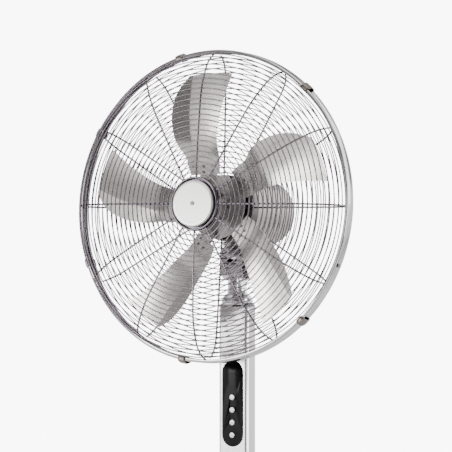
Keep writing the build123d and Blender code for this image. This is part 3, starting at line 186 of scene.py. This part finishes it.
def new_piece(name, mesh, material, body, *nodes, slot=None, angle=35):
    """Puts a finished mesh in the scene, smooth but for its sharp edges, riding on a body."""
    piece = bpy.data.objects.new(name, mesh)
    bpy.context.scene.collection.objects.link(piece)
    mesh.materials.clear()
    mesh.materials.append(material)
    mesh.polygons.foreach_set("material_index", [0] * len(mesh.polygons))
    mesh.polygons.foreach_set("use_smooth", [True] * len(mesh.polygons))
    mesh.set_sharp_from_angle(angle=math.radians(angle))
    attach(piece, body)
    if nodes:
        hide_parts(*nodes)
    return piece


def from_cad(name, material, body, slot=None, angle=30):
    """A CAD node's shape as one joined mesh, so that its curved faces shade smoothly."""
    work = bmesh.new()
    work.from_mesh(frame["nodes"][name].data)
    bmesh.ops.remove_doubles(work, verts=work.verts, dist=2e-6)
    bmesh.ops.dissolve_degenerate(work, edges=work.edges, dist=1e-7)
    mesh = bpy.data.meshes.new(name + "_skin")
    work.to_mesh(mesh)
    work.free()
    return new_piece(name + "_skin", mesh, material, body, name, slot=slot, angle=angle)


def lathe(profile, place=Matrix.Identity(4), steps=96, closed=False):
    """A mesh turned about z from (radius, height) points in millimetres, then put in its place."""
    work = bmesh.new()
    rings = []
    for radius, level_mm in profile:
        if radius < 1e-6:
            rings.append([work.verts.new((0, 0, level_mm / 1000))])
            continue
        rings.append([
            work.verts.new((radius / 1000 * math.cos(2 * math.pi * i / steps),
                            radius / 1000 * math.sin(2 * math.pi * i / steps), level_mm / 1000))
            for i in range(steps)
        ])
    pairs = list(zip(rings, rings[1:])) + ([(rings[-1], rings[0])] if closed else [])
    for low, high in pairs:
        for i in range(steps):
            j = (i + 1) % steps
            corners = [low[i % len(low)], low[j % len(low)], high[j % len(high)], high[i % len(high)]]
            corners = list(dict.fromkeys(corners))
            if len(corners) > 2:
                work.faces.new(corners)
    bmesh.ops.recalc_face_normals(work, faces=work.faces)
    bmesh.ops.transform(work, matrix=place, verts=work.verts)
    mesh = bpy.data.meshes.new("turned")
    work.to_mesh(mesh)
    work.free()
    return mesh


floor_mesh = lathe([(0, -0.6), (1500, -0.6), (3600, -0.6)])
floor = bpy.data.objects.new("floor", floor_mesh)
bpy.context.scene.collection.objects.link(floor)
floor_paint, tree, shader = surface("matt white painted floor", "#F2F2F0", 0, 0.7)
mottle(tree, shader, 40, ("#EFEFED", "#F5F5F4"), (0.65, 0.75))
floor_mesh.materials.append(floor_paint)


# ------------------------------------------------------------------ base and poles
# A wide chromed steel cover over a cast weight on rubber feet, with a turned socket that
# holds the lower chromed tube. A black collar grips the thinner tube that slides in it.

chrome, tree, shader = surface("bright chrome plate on polished steel", "#C9C9CB", 1, 0.12)
# chrome mirrors the room; its faint haze shows as soft patches about 30 mm wide
mottle(tree, shader, 30, ("#C4C4C7", "#D0D0D1"), (0.08, 0.16))

rubber, tree, shader = surface("moulded black rubber", "#1B1B1B", 0, 0.8)
mottle(tree, shader, 1.2, ("#171717", "#222222"), (0.7, 0.9), bump=0.05)

cast_iron, tree, shader = surface("black painted cast iron", "#2A2A2A", 0.3, 0.65)
mottle(tree, shader, 2.5, ("#222222", "#343434"), (0.55, 0.8), bump=0.3)

zinc, tree, shader = surface("zinc plated steel", "#A9AAA6", 1, 0.35)
mottle(tree, shader, 3, ("#9C9D9A", "#B6B7B2"), (0.28, 0.42))

natural_acetal, tree, shader = surface("natural white acetal", "#DAD8D0", 0, 0.4)
mottle(tree, shader, 6, ("#D6D4CB", "#DEDCD5"), (0.35, 0.48))

black_abs, tree, shader = surface("fine grained black ABS", "#1A1A1A", 0, 0.42)
# spark-eroded mould grain about 0.8 mm across dulls the highlight
mottle(tree, shader, 0.8, ("#161616", "#202020"), (0.36, 0.5), bump=0.06)

from_cad("rubber_feet", rubber, "stand", "feet_rubber")
from_cad("base_weight", cast_iron, "stand", "cast_weight")
from_cad("base_cover", chrome, "stand", "chrome_cover")
from_cad("pole_socket", chrome, "stand", "chrome_turned")
from_cad("pole_nut", zinc, "stand", "zinc_nut")
from_cad("outer_pole", chrome, "stand", "chrome_tube")
from_cad("guide_bush", natural_acetal, "stand", "bush_plastic")
from_cad("collet", natural_acetal, "stand", "bush_plastic")
from_cad("height_collar", black_abs, "height_collar", "collar_plastic")
from_cad("inner_pole", chrome, "column", "chrome_tube")


# ------------------------------------------------------------------ control column
# Two pressed silver halves, screwed together over the pole's plug, with a gloss black
# window and four small metallised keys. The power inlet is a rubber gland at the back.

silver, tree, shader = surface("satin silver plated casing", "#B9B9B9", 1, 0.24)
# long fine brush lines run up the column, 0.5 mm apart, drawn as 1.2 mm so that they show
mottle(tree, shader, 1.2, ("#B6B6B6", "#C0C0C0"), (0.2, 0.28), stretch=(1, 1, 0.02))

screw_steel, tree, shader = surface("plated screw steel", "#6F6C6B", 1, 0.3)
mottle(tree, shader, 1, ("#615F5E", "#7D7A79"), (0.25, 0.4))

window, tree, shader = surface("gloss black acrylic window", "#020202", 0, 0.18, Specular_IOR_Level=0.08)
mottle(tree, shader, 20, ("#010101", "#030303"), (0.15, 0.22))

key_metal, tree, shader = surface("metallised key cap", "#8B8B8D", 1, 0.28)
mottle(tree, shader, 0.6, ("#828284", "#98989A"), (0.22, 0.34))

fibreglass, tree, shader = surface("green fibreglass board", "#1F5A33", 0, 0.35)
mottle(tree, shader, 1.5, ("#1B5230", "#24653A"), (0.3, 0.42))

plated_can, tree, shader = surface("plated motor can", "#9A9A98", 1, 0.3)
mottle(tree, shader, 4, ("#8E8E8C", "#A6A6A4"), (0.25, 0.38))

from_cad("socket_plug", black_abs, "column", "collar_plastic")
from_cad("column_front", silver, "column", "column_silver")
from_cad("column_rear", silver, "column", "column_silver")
from_cad("column_screws", screw_steel, "column", "screw_steel")
from_cad("control_panel", window, "column", "panel_black")
from_cad("circuit_board", fibreglass, "column", "board_green")
from_cad("column_cap", black_abs, "column", "collar_plastic")
from_cad("swing_motor", plated_can, "column", "motor_can")
from_cad("power_inlet", rubber, "column", "inlet_rubber")
for key_name in ("button_power", "button_speed", "button_swing", "button_timer"):
    from_cad(key_name, key_metal, key_name, "button_grey")
from_cad("swing_pinion", natural_acetal, "swing_pinion", "gear_plastic")


# ------------------------------------------------------------------ neck and tilt
# A chromed zinc casting turns on the column and carries the head's bracket on a bolt; a
# black lobed knob clamps it.

cast_chrome, tree, shader = surface("chrome plate on a zinc casting", "#BFBFC1", 1, 0.1)
# the casting's skin ripples gently under the plate, about 14 mm from crest to crest
mottle(tree, shader, 14, ("#B8B8BB", "#C8C8CA"), (0.06, 0.14))

from_cad("neck_casting", cast_chrome, "neck", "neck_chrome", angle=40)
from_cad("swing_gear", natural_acetal, "neck", "gear_plastic")
from_cad("tilt_knob", black_abs, "tilt_knob", "knob_black")
from_cad("tilt_bracket", cast_chrome, "head", "bracket_chrome", angle=40)
from_cad("tilt_bolt", zinc, "head", "zinc_nut")


# ------------------------------------------------------------------ motor
# A black enamelled front shell and a grey metallic rear shell with slotted vents, over a
# laminated stator with copper coils and two bronze bearings.

black_enamel, tree, shader = surface("stoved black enamel", "#1A1814", 0, 0.3, Coat_Weight=0.3,
                                     Coat_Roughness=0.15)
mottle(tree, shader, 3, ("#16140F", "#201E1A"), (0.25, 0.36), bump=0.04)

grey_enamel, tree, shader = surface("grey metallic enamel", "#8E8886", 0.75, 0.34)
mottle(tree, shader, 0.6, ("#857F7D", "#9A9492"), (0.3, 0.4), bump=0.02)

lamination, tree, shader = surface("stacked electrical steel", "#5F6062", 1, 0.45)
mottle(tree, shader, 0.5, ("#525355", "#6E6F71"), (0.4, 0.55), stretch=(0.05, 1, 0.05), bump=0.05)

copper, tree, shader = surface("enamelled copper wire", "#A8602F", 1, 0.3)
mottle(tree, shader, 0.9, ("#8F4C22", "#BE7340"), (0.25, 0.4), bump=0.2)

bronze, tree, shader = surface("sintered bronze", "#A98650", 1, 0.45)
mottle(tree, shader, 0.5, ("#98763F", "#B8955E"), (0.4, 0.55))

from_cad("motor_front_cover", black_enamel, "head", "motor_black")
from_cad("motor_rear_cover", grey_enamel, "head", "motor_grey")
from_cad("motor_screws", screw_steel, "head", "screw_steel")
from_cad("stator_core", lamination, "head", "lamination_steel")
from_cad("stator_windings", copper, "head", "coil_copper")
from_cad("front_bearing", bronze, "head", "bearing_bronze")
from_cad("rear_bearing", bronze, "head", "bearing_bronze")


# ------------------------------------------------------------------ wire guard
# Chromed steel wire: coaxial rings 2 mm thick, spot welded to twelve 2.8 mm spokes, in a
# deep front dome and a shallow rear dome. The wires sink 0.3 mm into each other at a weld.

RING_WIRE = 1.0
SPOKE_WIRE = 1.4
RING_PITCH = 7.9
SPOKE_COUNT = 12
WELD_BITE = 0.3
RIM_WIRE = 2.2
RIM_WIRE_RADIUS = 231.55
RIM_WIRE_OFFSET = 4.4
HUB_WIRE = 1.7
HUB_RING_RADIUS = 39
CROWN_SLOPE = 0.8
FRONT_DOME = {"height": 57, "turns": ((2650, 2.5), (150, 21.4), (46.7, 52))}
REAR_DOME = {"height": 27, "turns": ((3600, 2.5), (60, 25), (22, 38))}
RING_TO_SPOKE = RING_WIRE + SPOKE_WIRE - WELD_BITE

# the wire's chrome is painted much darker than bright chrome: a painted shade standing in for the dim
# surroundings the wires mirror
guard_wire, tree, shader = surface("chromed steel wire", "#69636A", 1, 0.14)
mottle(tree, shader, 12, ("#615B61", "#716B71"), (0.1, 0.18))


def dome_points(dome, inset):
    """The dome's profile as (radius, height) points in millimetres, every half millimetre."""
    radius, height_mm, slope = HUB_RING_RADIUS - 2, dome["height"] - inset, CROWN_SLOPE
    points = [(radius, height_mm)]
    for bend, turn in dome["turns"]:
        bend -= inset
        length = bend * math.radians(turn)
        count = max(8, int(length / 0.5))
        for _ in range(count):
            middle = math.radians(slope + turn / count / 2)
            radius += length / count * math.cos(middle)
            height_mm -= length / count * math.sin(middle)
            slope += turn / count
            points.append((radius, height_mm))
    return points


def geometry_tree(name, inputs):
    """A new geometry node tree with a mesh coming in, named inputs and a mesh going out."""
    tree = bpy.data.node_groups.new(name, "GeometryNodeTree")
    tree.interface.new_socket("Geometry", in_out="INPUT", socket_type="NodeSocketGeometry")
    for label, kind in inputs:
        tree.interface.new_socket(label, in_out="INPUT", socket_type=kind)
    tree.interface.new_socket("Geometry", in_out="OUTPUT", socket_type="NodeSocketGeometry")
    return tree, add_node(tree, "NodeGroupInput")


def end_tree(tree, geometry, start):
    """Closes a tree: instances made real, then the material from the tree's own input."""
    real = add_node(tree, "GeometryNodeRealizeInstances", {"Geometry": geometry})
    dressed = add_node(tree, "GeometryNodeSetMaterial",
                       {"Geometry": real.outputs[0], "Material": start.outputs["Material"]})
    add_node(tree, "NodeGroupOutput", {"Geometry": dressed.outputs[0]})


def grow(data, tree, inputs, place=Matrix.Identity(4)):
    """Runs a geometry tree on a mesh or curve with those inputs, and returns the plain mesh."""
    seed = bpy.data.objects.new("seed", data)
    bpy.context.scene.collection.objects.link(seed)
    modifier = seed.modifiers.new("grow", "NODES")
    modifier.node_group = tree
    for item in tree.interface.items_tree:
        if item.in_out == "INPUT" and item.name in inputs:
            modifier[item.identifier] = inputs[item.name]
    seed.update_tag()
    shown = seed.evaluated_get(bpy.context.evaluated_depsgraph_get())
    mesh = bpy.data.meshes.new_from_object(shown)
    seed.modifiers.clear()
    bpy.data.objects.remove(seed)
    mesh.transform(place)
    return mesh


def points_mesh(points, edges=()):
    """Loose points, in metres, and any edges between them."""
    mesh = bpy.data.meshes.new("points")
    mesh.from_pydata(points, edges, [])
    return mesh


# rings: every incoming point is one ring about z, with the point's x as its radius
ring_tree, start = geometry_tree("coaxial rings", [
    ("Wire", "NodeSocketFloat"), ("Steps", "NodeSocketInt"), ("Sides", "NodeSocketInt"),
    ("Material", "NodeSocketMaterial"),
])
spot = add_node(ring_tree, "GeometryNodeInputPosition")
part = add_node(ring_tree, "ShaderNodeSeparateXYZ", {"Vector": spot.outputs[0]})
axis_place = add_node(ring_tree, "ShaderNodeCombineXYZ", {"Z": part.outputs["Z"]})
kept = add_node(ring_tree, "GeometryNodeCaptureAttribute", {"Geometry": start.outputs["Geometry"]})
kept.capture_items.new("FLOAT", "radius")
ring_tree.links.new(part.outputs["X"], kept.inputs[1])
centred = add_node(ring_tree, "GeometryNodeSetPosition",
                   {"Geometry": kept.outputs[0], "Position": axis_place.outputs[0]})
circle = add_node(ring_tree, "GeometryNodeCurvePrimitiveCircle",
                  {"Resolution": start.outputs["Steps"]}, Radius=1.0)
spread = add_node(ring_tree, "GeometryNodeInstanceOnPoints",
                  {"Points": centred.outputs[0], "Instance": circle.outputs[0], "Scale": kept.outputs[1]})
loops = add_node(ring_tree, "GeometryNodeRealizeInstances", {"Geometry": spread.outputs[0]})
section = add_node(ring_tree, "GeometryNodeCurvePrimitiveCircle",
                   {"Resolution": start.outputs["Sides"], "Radius": start.outputs["Wire"]})
swept = add_node(ring_tree, "GeometryNodeCurveToMesh",
                 {"Curve": loops.outputs[0], "Profile Curve": section.outputs[0]})
end_tree(ring_tree, swept.outputs[0], start)

# spokes: the incoming edge path is repeated about z
spoke_tree, start = geometry_tree("radial spokes", [
    ("Wire", "NodeSocketFloat"), ("Count", "NodeSocketInt"), ("Sides", "NodeSocketInt"),
    ("Material", "NodeSocketMaterial"),
])
path = add_node(spoke_tree, "GeometryNodeMeshToCurve", {"Mesh": start.outputs["Geometry"]})
row = add_node(spoke_tree, "GeometryNodePoints", {"Count": start.outputs["Count"]})
index = add_node(spoke_tree, "GeometryNodeInputIndex")
share = add_node(spoke_tree, "ShaderNodeMath", settings={"operation": "DIVIDE"})
spoke_tree.links.new(index.outputs[0], share.inputs[0])
spoke_tree.links.new(start.outputs["Count"], share.inputs[1])
turn = add_node(spoke_tree, "ShaderNodeMath", {0: share.outputs[0]}, {"operation": "MULTIPLY"})
turn.inputs[1].default_value = 2 * math.pi
turned_by = add_node(spoke_tree, "ShaderNodeCombineXYZ", {"Z": turn.outputs[0]})
fan_out = add_node(spoke_tree, "GeometryNodeInstanceOnPoints",
                   {"Points": row.outputs[0], "Instance": path.outputs[0], "Rotation": turned_by.outputs[0]})
paths = add_node(spoke_tree, "GeometryNodeRealizeInstances", {"Geometry": fan_out.outputs[0]})
section = add_node(spoke_tree, "GeometryNodeCurvePrimitiveCircle",
                   {"Resolution": start.outputs["Sides"], "Radius": start.outputs["Wire"]})
swept = add_node(spoke_tree, "GeometryNodeCurveToMesh", {
    "Curve": paths.outputs[0], "Profile Curve": section.outputs[0]})
swept.inputs["Fill Caps"].default_value = True
end_tree(spoke_tree, swept.outputs[0], start)

# copies: the incoming mesh is set out at another mesh's points, turned by their "turn"
copy_tree, start = geometry_tree("set out copies", [
    ("Places", "NodeSocketObject"), ("Material", "NodeSocketMaterial"),
])
places = add_node(copy_tree, "GeometryNodeObjectInfo", {"Object": start.outputs["Places"]})
named = add_node(copy_tree, "GeometryNodeInputNamedAttribute", settings={"data_type": "FLOAT_VECTOR"},
                 Name="turn")
set_out = add_node(copy_tree, "GeometryNodeInstanceOnPoints", {
    "Points": places.outputs["Geometry"], "Instance": start.outputs["Geometry"],
    "Rotation": named.outputs["Attribute"]})
end_tree(copy_tree, set_out.outputs[0], start)


def set_out_copies(mesh, frames, material):
    """Copies of a mesh at each of those matrices."""
    marks = points_mesh([tuple(f.translation) for f in frames])
    attribute = marks.attributes.new("turn", "FLOAT_VECTOR", "POINT")
    for i, f in enumerate(frames):
        attribute.data[i].vector = f.to_euler("XYZ")
    holder = bpy.data.objects.new("places", marks)
    bpy.context.scene.collection.objects.link(holder)
    made = grow(mesh, copy_tree, {"Places": holder, "Material": material})
    bpy.data.objects.remove(holder)
    return made


for side, dome, facing, first in (("front", FRONT_DOME, 1, 47), ("rear", REAR_DOME, -1, 53)):
    profile = dome_points(dome, 0)
    steps_along = np.concatenate([[0], np.cumsum(np.hypot(*np.diff(np.array(profile), axis=0).T))])
    begin = first - HUB_RING_RADIUS + 2
    count = int((steps_along[-1] - begin) / RING_PITCH)
    spots = [begin + i * RING_PITCH for i in range(count)]
    radii = np.interp(spots, steps_along, [p[0] for p in profile])
    levels = np.interp(spots, steps_along, [p[1] for p in profile])
    ring_marks = [(r / 1000, 0, RIM_CENTRE + facing * z / 1000) for r, z in zip(radii, levels)]
    rings = grow(points_mesh(ring_marks), ring_tree, {
        "Wire": RING_WIRE / 1000, "Steps": 120, "Sides": 8, "Material": guard_wire}, HEAD)
    new_piece(side + "_rings", rings, guard_wire, "head", side + "_rings_inner", side + "_rings_outer",
              slot="guard_wire", angle=60)
    inner = dome_points(dome, RING_TO_SPOKE)
    path_points = inner[::12] + [inner[-1]]
    line = [(r / 1000, 0, RIM_CENTRE + facing * z / 1000) for r, z in path_points]
    spokes = grow(points_mesh(line, [(i, i + 1) for i in range(len(line) - 1)]), spoke_tree, {
        "Wire": SPOKE_WIRE / 1000, "Count": SPOKE_COUNT, "Sides": 10, "Material": guard_wire},
        HEAD @ Matrix.Rotation(math.pi / 2, 4, "Z"))
    new_piece(side + "_spokes", spokes, guard_wire, "head", side + "_guard_spokes",
              slot="guard_wire", angle=60)
    rim_mark = (RIM_WIRE_RADIUS / 1000, 0, RIM_CENTRE + facing * RIM_WIRE_OFFSET / 1000)
    rim_ring = grow(points_mesh([rim_mark]), ring_tree, {
        "Wire": RIM_WIRE / 1000, "Steps": 160, "Sides": 12, "Material": guard_wire}, HEAD)
    new_piece(side + "_rim_ring", rim_ring, guard_wire, "head", slot="guard_wire", angle=60)

hub_level = RIM_CENTRE * 1000 + FRONT_DOME["height"] - RING_TO_SPOKE + SPOKE_WIRE + 1.4
hub_ring = grow(points_mesh([(HUB_RING_RADIUS / 1000, 0, hub_level / 1000)]), ring_tree, {
    "Wire": HUB_WIRE / 1000, "Steps": 96, "Sides": 12, "Material": guard_wire}, HEAD)
new_piece("hub_ring", hub_ring, guard_wire, "head", slot="guard_wire", angle=60)

from_cad("front_hub_plate", guard_wire, "head", "guard_wire")
from_cad("rear_guard_plate", guard_wire, "head", "guard_wire")
from_cad("guard_nut", black_abs, "head", "nut_plastic")


# ------------------------------------------------------------------ badge
# A plain pressed steel cap, satin turned so that fine circles run round it, held by one
# small domed screw in the middle. It carries no mark.

badge_satin, tree, shader = surface("satin turned steel cap", "#C6C6C4", 1, 0.36)
place = add_node(tree, "ShaderNodeTexCoord")
sized = add_node(tree, "ShaderNodeMapping", {"Vector": place.outputs["Object"]})
BADGE_FACE = 0.137
badge_centre = HEAD @ Vector((0, 0, BADGE_FACE))
sized.inputs["Location"].default_value = -badge_centre
# the turning lines are 0.2 mm apart, drawn 1 mm apart so that they show
circles = add_node(tree, "ShaderNodeTexWave", {"Vector": sized.outputs[0]},
                   {"wave_type": "RINGS", "rings_direction": "SPHERICAL"},
                   Scale=50.0, Distortion=0.6, Detail=2.0)
tint = add_node(tree, "ShaderNodeValToRGB", {"Fac": circles.outputs["Fac"]})
tint.color_ramp.elements[0].color = linear("#C2C2C0")
tint.color_ramp.elements[1].color = linear("#CCCCCA")
tree.links.new(tint.outputs["Color"], shader.inputs["Base Color"])
worn = add_node(tree, "ShaderNodeMapRange", {"Value": circles.outputs["Fac"]}, To_Min=0.34, To_Max=0.4)
tree.links.new(worn.outputs["Result"], shader.inputs["Roughness"])

badge_base = hub_level - HUB_WIRE + 0.3
cap = [(0, badge_base + 7)]
cap += [(r, badge_base + 7 - 0.25 * (r / 32) ** 2) for r in (3, 8, 16, 24, 29)]
cap += [(32.5 + 2.5 * math.sin(math.radians(a)), badge_base + 4.3 + 2.5 * math.cos(math.radians(a)))
        for a in range(0, 91, 15)]
cap += [(35, badge_base + 1), (34.8, badge_base + 0.2), (33.8, badge_base + 0.2), (33.8, badge_base + 4.2)]
cap += [(32, badge_base + 5.6), (0, badge_base + 5.8)]
new_piece("badge_cap", lathe(cap, HEAD), badge_satin, "head", "badge_disc", slot="badge_silver", angle=40)

from_cad("trim_screws", screw_steel, "head", "screw_steel")


# ------------------------------------------------------------------ rim band and clips
# A bright rolled steel band grips both guards' rim wires between its turned-in lips. Six
# folded spring clips hook over its edges.

band_bright, tree, shader = surface("bright rolled steel band", "#A9A8A9", 1, 0.14)
mottle(tree, shader, 20, ("#A2A1A2", "#B2B1B2"), (0.1, 0.2))

RIM_RADIUS = 235
RIM_HALF = 9
RIM_LIP = 4.2
RIM_SHEET = 1.2
RIM_INSIDE = RIM_RADIUS - 1.5
RIM_GROOVE = RIM_RADIUS - 0.35
rim_level = RIM_CENTRE * 1000
# one side of the band's section, from the lip's inner face round to the groove
half_band = [
    (RIM_INSIDE, RIM_HALF - RIM_SHEET), (RIM_RADIUS - RIM_LIP, RIM_HALF - RIM_SHEET),
    (RIM_RADIUS - RIM_LIP, RIM_HALF), (RIM_RADIUS - 0.5, RIM_HALF), (RIM_RADIUS, RIM_HALF - 0.5),
    (RIM_RADIUS, 6), (RIM_GROOVE, 5),
]
band = [(r, rim_level - z) for r, z in half_band]
band += [(r, rim_level + z) for r, z in reversed(half_band)]
new_piece("rim_hoop", lathe(band, HEAD, 192, closed=True), band_bright, "head", "rim_band",
          slot="rim_steel", angle=50)

clip_metal, tree, shader = surface("dark plated spring steel", "#6B6460", 1, 0.3)
mottle(tree, shader, 2, ("#5A5450", "#7C7571"), (0.25, 0.4))

CLIP_ANGLES = [-15, -60, -110, -168, 138, 43]
CLIP_LENGTH = 13
CLIP_SHEET = 1.1
clip_line = [
    (-6, RIM_HALF + 0.9), (-3, RIM_HALF + 1.05), (0.4, RIM_HALF + 0.7), (1.3, RIM_HALF - 0.6),
    (3.4, 3.2), (3.9, 1.2), (3.2, -0.8),
    (1.4, -RIM_HALF + 0.8), (0.5, -RIM_HALF - 0.7), (-3, -RIM_HALF - 1.05), (-6, -RIM_HALF - 0.9),
]
work = bmesh.new()
edges_of_clip = []
for across in np.linspace(-CLIP_LENGTH / 2, CLIP_LENGTH / 2, 7):
    pinch = 1 - 0.12 * (abs(across) / (CLIP_LENGTH / 2)) ** 6
    sag = RIM_RADIUS + 0.7 - across * across / 2 / RIM_RADIUS
    edges_of_clip.append([
        work.verts.new(((sag + x * pinch) / 1000, -across / 1000, (rim_level + z * pinch) / 1000))
        for x, z in clip_line
    ])
for left, right in zip(edges_of_clip, edges_of_clip[1:]):
    for i in range(len(clip_line) - 1):
        work.faces.new((left[i], left[i + 1], right[i + 1], right[i]))
bmesh.ops.recalc_face_normals(work, faces=work.faces)
clip_mesh = bpy.data.meshes.new("clip")
work.to_mesh(clip_mesh)
work.free()
clip_seed = bpy.data.objects.new("clip", clip_mesh)
bpy.context.scene.collection.objects.link(clip_seed)
wall = clip_seed.modifiers.new("wall", "SOLIDIFY")
wall.thickness = CLIP_SHEET / 1000
wall.offset = 0
soft = clip_seed.modifiers.new("soft", "BEVEL")
soft.width = 0.0003
soft.segments = 2
shown = clip_seed.evaluated_get(bpy.context.evaluated_depsgraph_get())
clip_mesh = bpy.data.meshes.new_from_object(shown)
clip_seed.modifiers.clear()
bpy.data.objects.remove(clip_seed)
half_clip = CLIP_LENGTH / 2 / RIM_RADIUS
clip_frames = [HEAD @ Matrix.Rotation(math.radians(90 - a) + half_clip, 4, "Z") for a in CLIP_ANGLES]
new_piece("spring_clips", set_out_copies(clip_mesh, clip_frames, clip_metal), clip_metal, "head",
          "rim_clips", slot="clip_steel")


# ------------------------------------------------------------------ rotor
# Five pressed aluminium blades, satin anodised, each with a crease along its trailing
# third, riveted to a grey enamelled steel spider on the motor's shaft.

blade_metal, tree, shader = surface("satin anodised aluminium", "#D1CECA", 1, 0.28)
# the etched skin's speckle is under 0.3 mm, drawn 1.5 mm across so that it shows
mottle(tree, shader, 1.5, ("#CDCAC6", "#D5D2CE"), (0.25, 0.31))

hub_enamel, tree, shader = surface("grey enamelled steel", "#7C7876", 0.3, 0.35)
mottle(tree, shader, 2, ("#757170", "#84807E"), (0.3, 0.42), bump=0.03)

ground_steel, tree, shader = surface("ground shaft steel", "#B0B0B0", 1, 0.2)
mottle(tree, shader, 0.8, ("#A6A6A6", "#BABABA"), (0.15, 0.26), stretch=(1, 0.1, 1))

cast_aluminium, tree, shader = surface("cast aluminium cage and laminations", "#A0A0A0", 1, 0.45)
mottle(tree, shader, 1.5, ("#949494", "#AEAEAE"), (0.4, 0.5), bump=0.05)

BLADE_FIRST_ANGLE = -3.6
ROOT = 49
BLADE_TIP = 200
BLADE_SHEET = 1.2
BLADE_BOW = 1.6
LAST_RADIUS = 200.8
STATIONS = np.array([  # radius, nose, tail, pitch, bend, lead, forward
    (49, 37, 8, 16, 1, -30, 74),
    (68, 37, 13, 16, 1, -30, 74),
    (100, 40, 24, 12, 15, -31, 84),
    (140, 49, 27, 10, 18, -31, 88),
    (175, 58, 20, 8, 20, -28, 87),
    (201, 66, 3, 7, 18, -25, 85),
], float)


def smooth_stations(radius):
    """The blade's section sizes at a radius, on a smooth curve through the stations."""
    at = STATIONS[:, 0]
    slopes = np.gradient(STATIONS[:, 1:], at, axis=0)
    slopes[0] = slopes[1] = 0
    i = int(np.clip(np.searchsorted(at, radius) - 1, 0, len(at) - 2))
    span = at[i + 1] - at[i]
    t = (radius - at[i]) / span
    a, b = STATIONS[i, 1:], STATIONS[i + 1, 1:]
    return ((2 * t**3 - 3 * t**2 + 1) * a + (t**3 - 2 * t**2 + t) * span * slopes[i]
            + (3 * t**2 - 2 * t**3) * b + (t**3 - t**2) * span * slopes[i + 1])


work = bmesh.new()
front_rows, back_rows = [], []
ROWS = 56
across_nose = np.linspace(0, 1, 13)
across_tail = np.linspace(0, 1, 9)[1:]
for k in range(ROWS + 1):
    share_along = k / ROWS
    row_front, row_back = [], []
    samples = [("nose", u) for u in across_nose] + [("tail", u) for u in across_tail]
    for zone, u in samples:
        radius = ROOT + share_along * (BLADE_TIP - ROOT)
        for _ in range(3):
            nose, tail, pitch, bend, lead, forward = smooth_stations(min(radius, LAST_RADIUS))
            p, q = math.radians(pitch), math.radians(pitch + bend)
            if zone == "nose":
                x = -lead - nose * (1 - u) * math.cos(p)
                y = forward - nose * (1 - u) * math.sin(p)
                y -= BLADE_BOW * math.sin(math.pi * u) * min(1, max(0, (radius - 70) / 60))
                lean = p
            else:
                x = -lead + tail * u * math.cos(q)
                y = forward + tail * u * math.sin(q)
                lean = q
            reach = math.sqrt(BLADE_TIP**2 - x * x)
            radius = ROOT + share_along * (reach - ROOT)
        normal = Vector((-math.sin(lean), math.cos(lean)))
        for shift, store in ((BLADE_SHEET, row_front), (0, row_back)):
            store.append(work.verts.new(((-(x + normal.x * shift)) / 1000, radius / 1000,
                                         (y + normal.y * shift) / 1000)))
    front_rows.append(row_front)
    back_rows.append(row_back)
width = len(front_rows[0])
for k in range(ROWS):
    for i in range(width - 1):
        a, b = front_rows[k], front_rows[k + 1]
        work.faces.new((a[i], a[i + 1], b[i + 1], b[i]))
        a, b = back_rows[k], back_rows[k + 1]
        work.faces.new((a[i], b[i], b[i + 1], a[i + 1]))
    for i in (0, width - 1):
        work.faces.new((front_rows[k][i], front_rows[k + 1][i], back_rows[k + 1][i], back_rows[k][i]))
for k in (0, ROWS):
    for i in range(width - 1):
        work.faces.new((front_rows[k][i], front_rows[k][i + 1], back_rows[k][i + 1], back_rows[k][i]))
bmesh.ops.remove_doubles(work, verts=work.verts, dist=1e-6)
bmesh.ops.recalc_face_normals(work, faces=work.faces)
blade_mesh = bpy.data.meshes.new("blade")
work.to_mesh(blade_mesh)
work.free()
blade_frames = [HEAD @ Matrix.Rotation(math.radians(-BLADE_FIRST_ANGLE - 72 * n), 4, "Z") for n in range(5)]
new_piece("blades", set_out_copies(blade_mesh, blade_frames, blade_metal), blade_metal, "rotor",
          *[f"blade_{n + 1}" for n in range(5)], slot="blade_aluminium", angle=9)

from_cad("blade_hub", hub_enamel, "rotor", "hub_grey")
from_cad("blade_rivets", screw_steel, "rotor", "screw_steel")
from_cad("hub_screws", screw_steel, "rotor", "screw_steel")
from_cad("hub_nut", black_abs, "rotor", "nut_plastic")
from_cad("rotor_shaft", ground_steel, "rotor", "shaft_steel")
from_cad("rotor_core", cast_aluminium, "rotor", "rotor_aluminium")
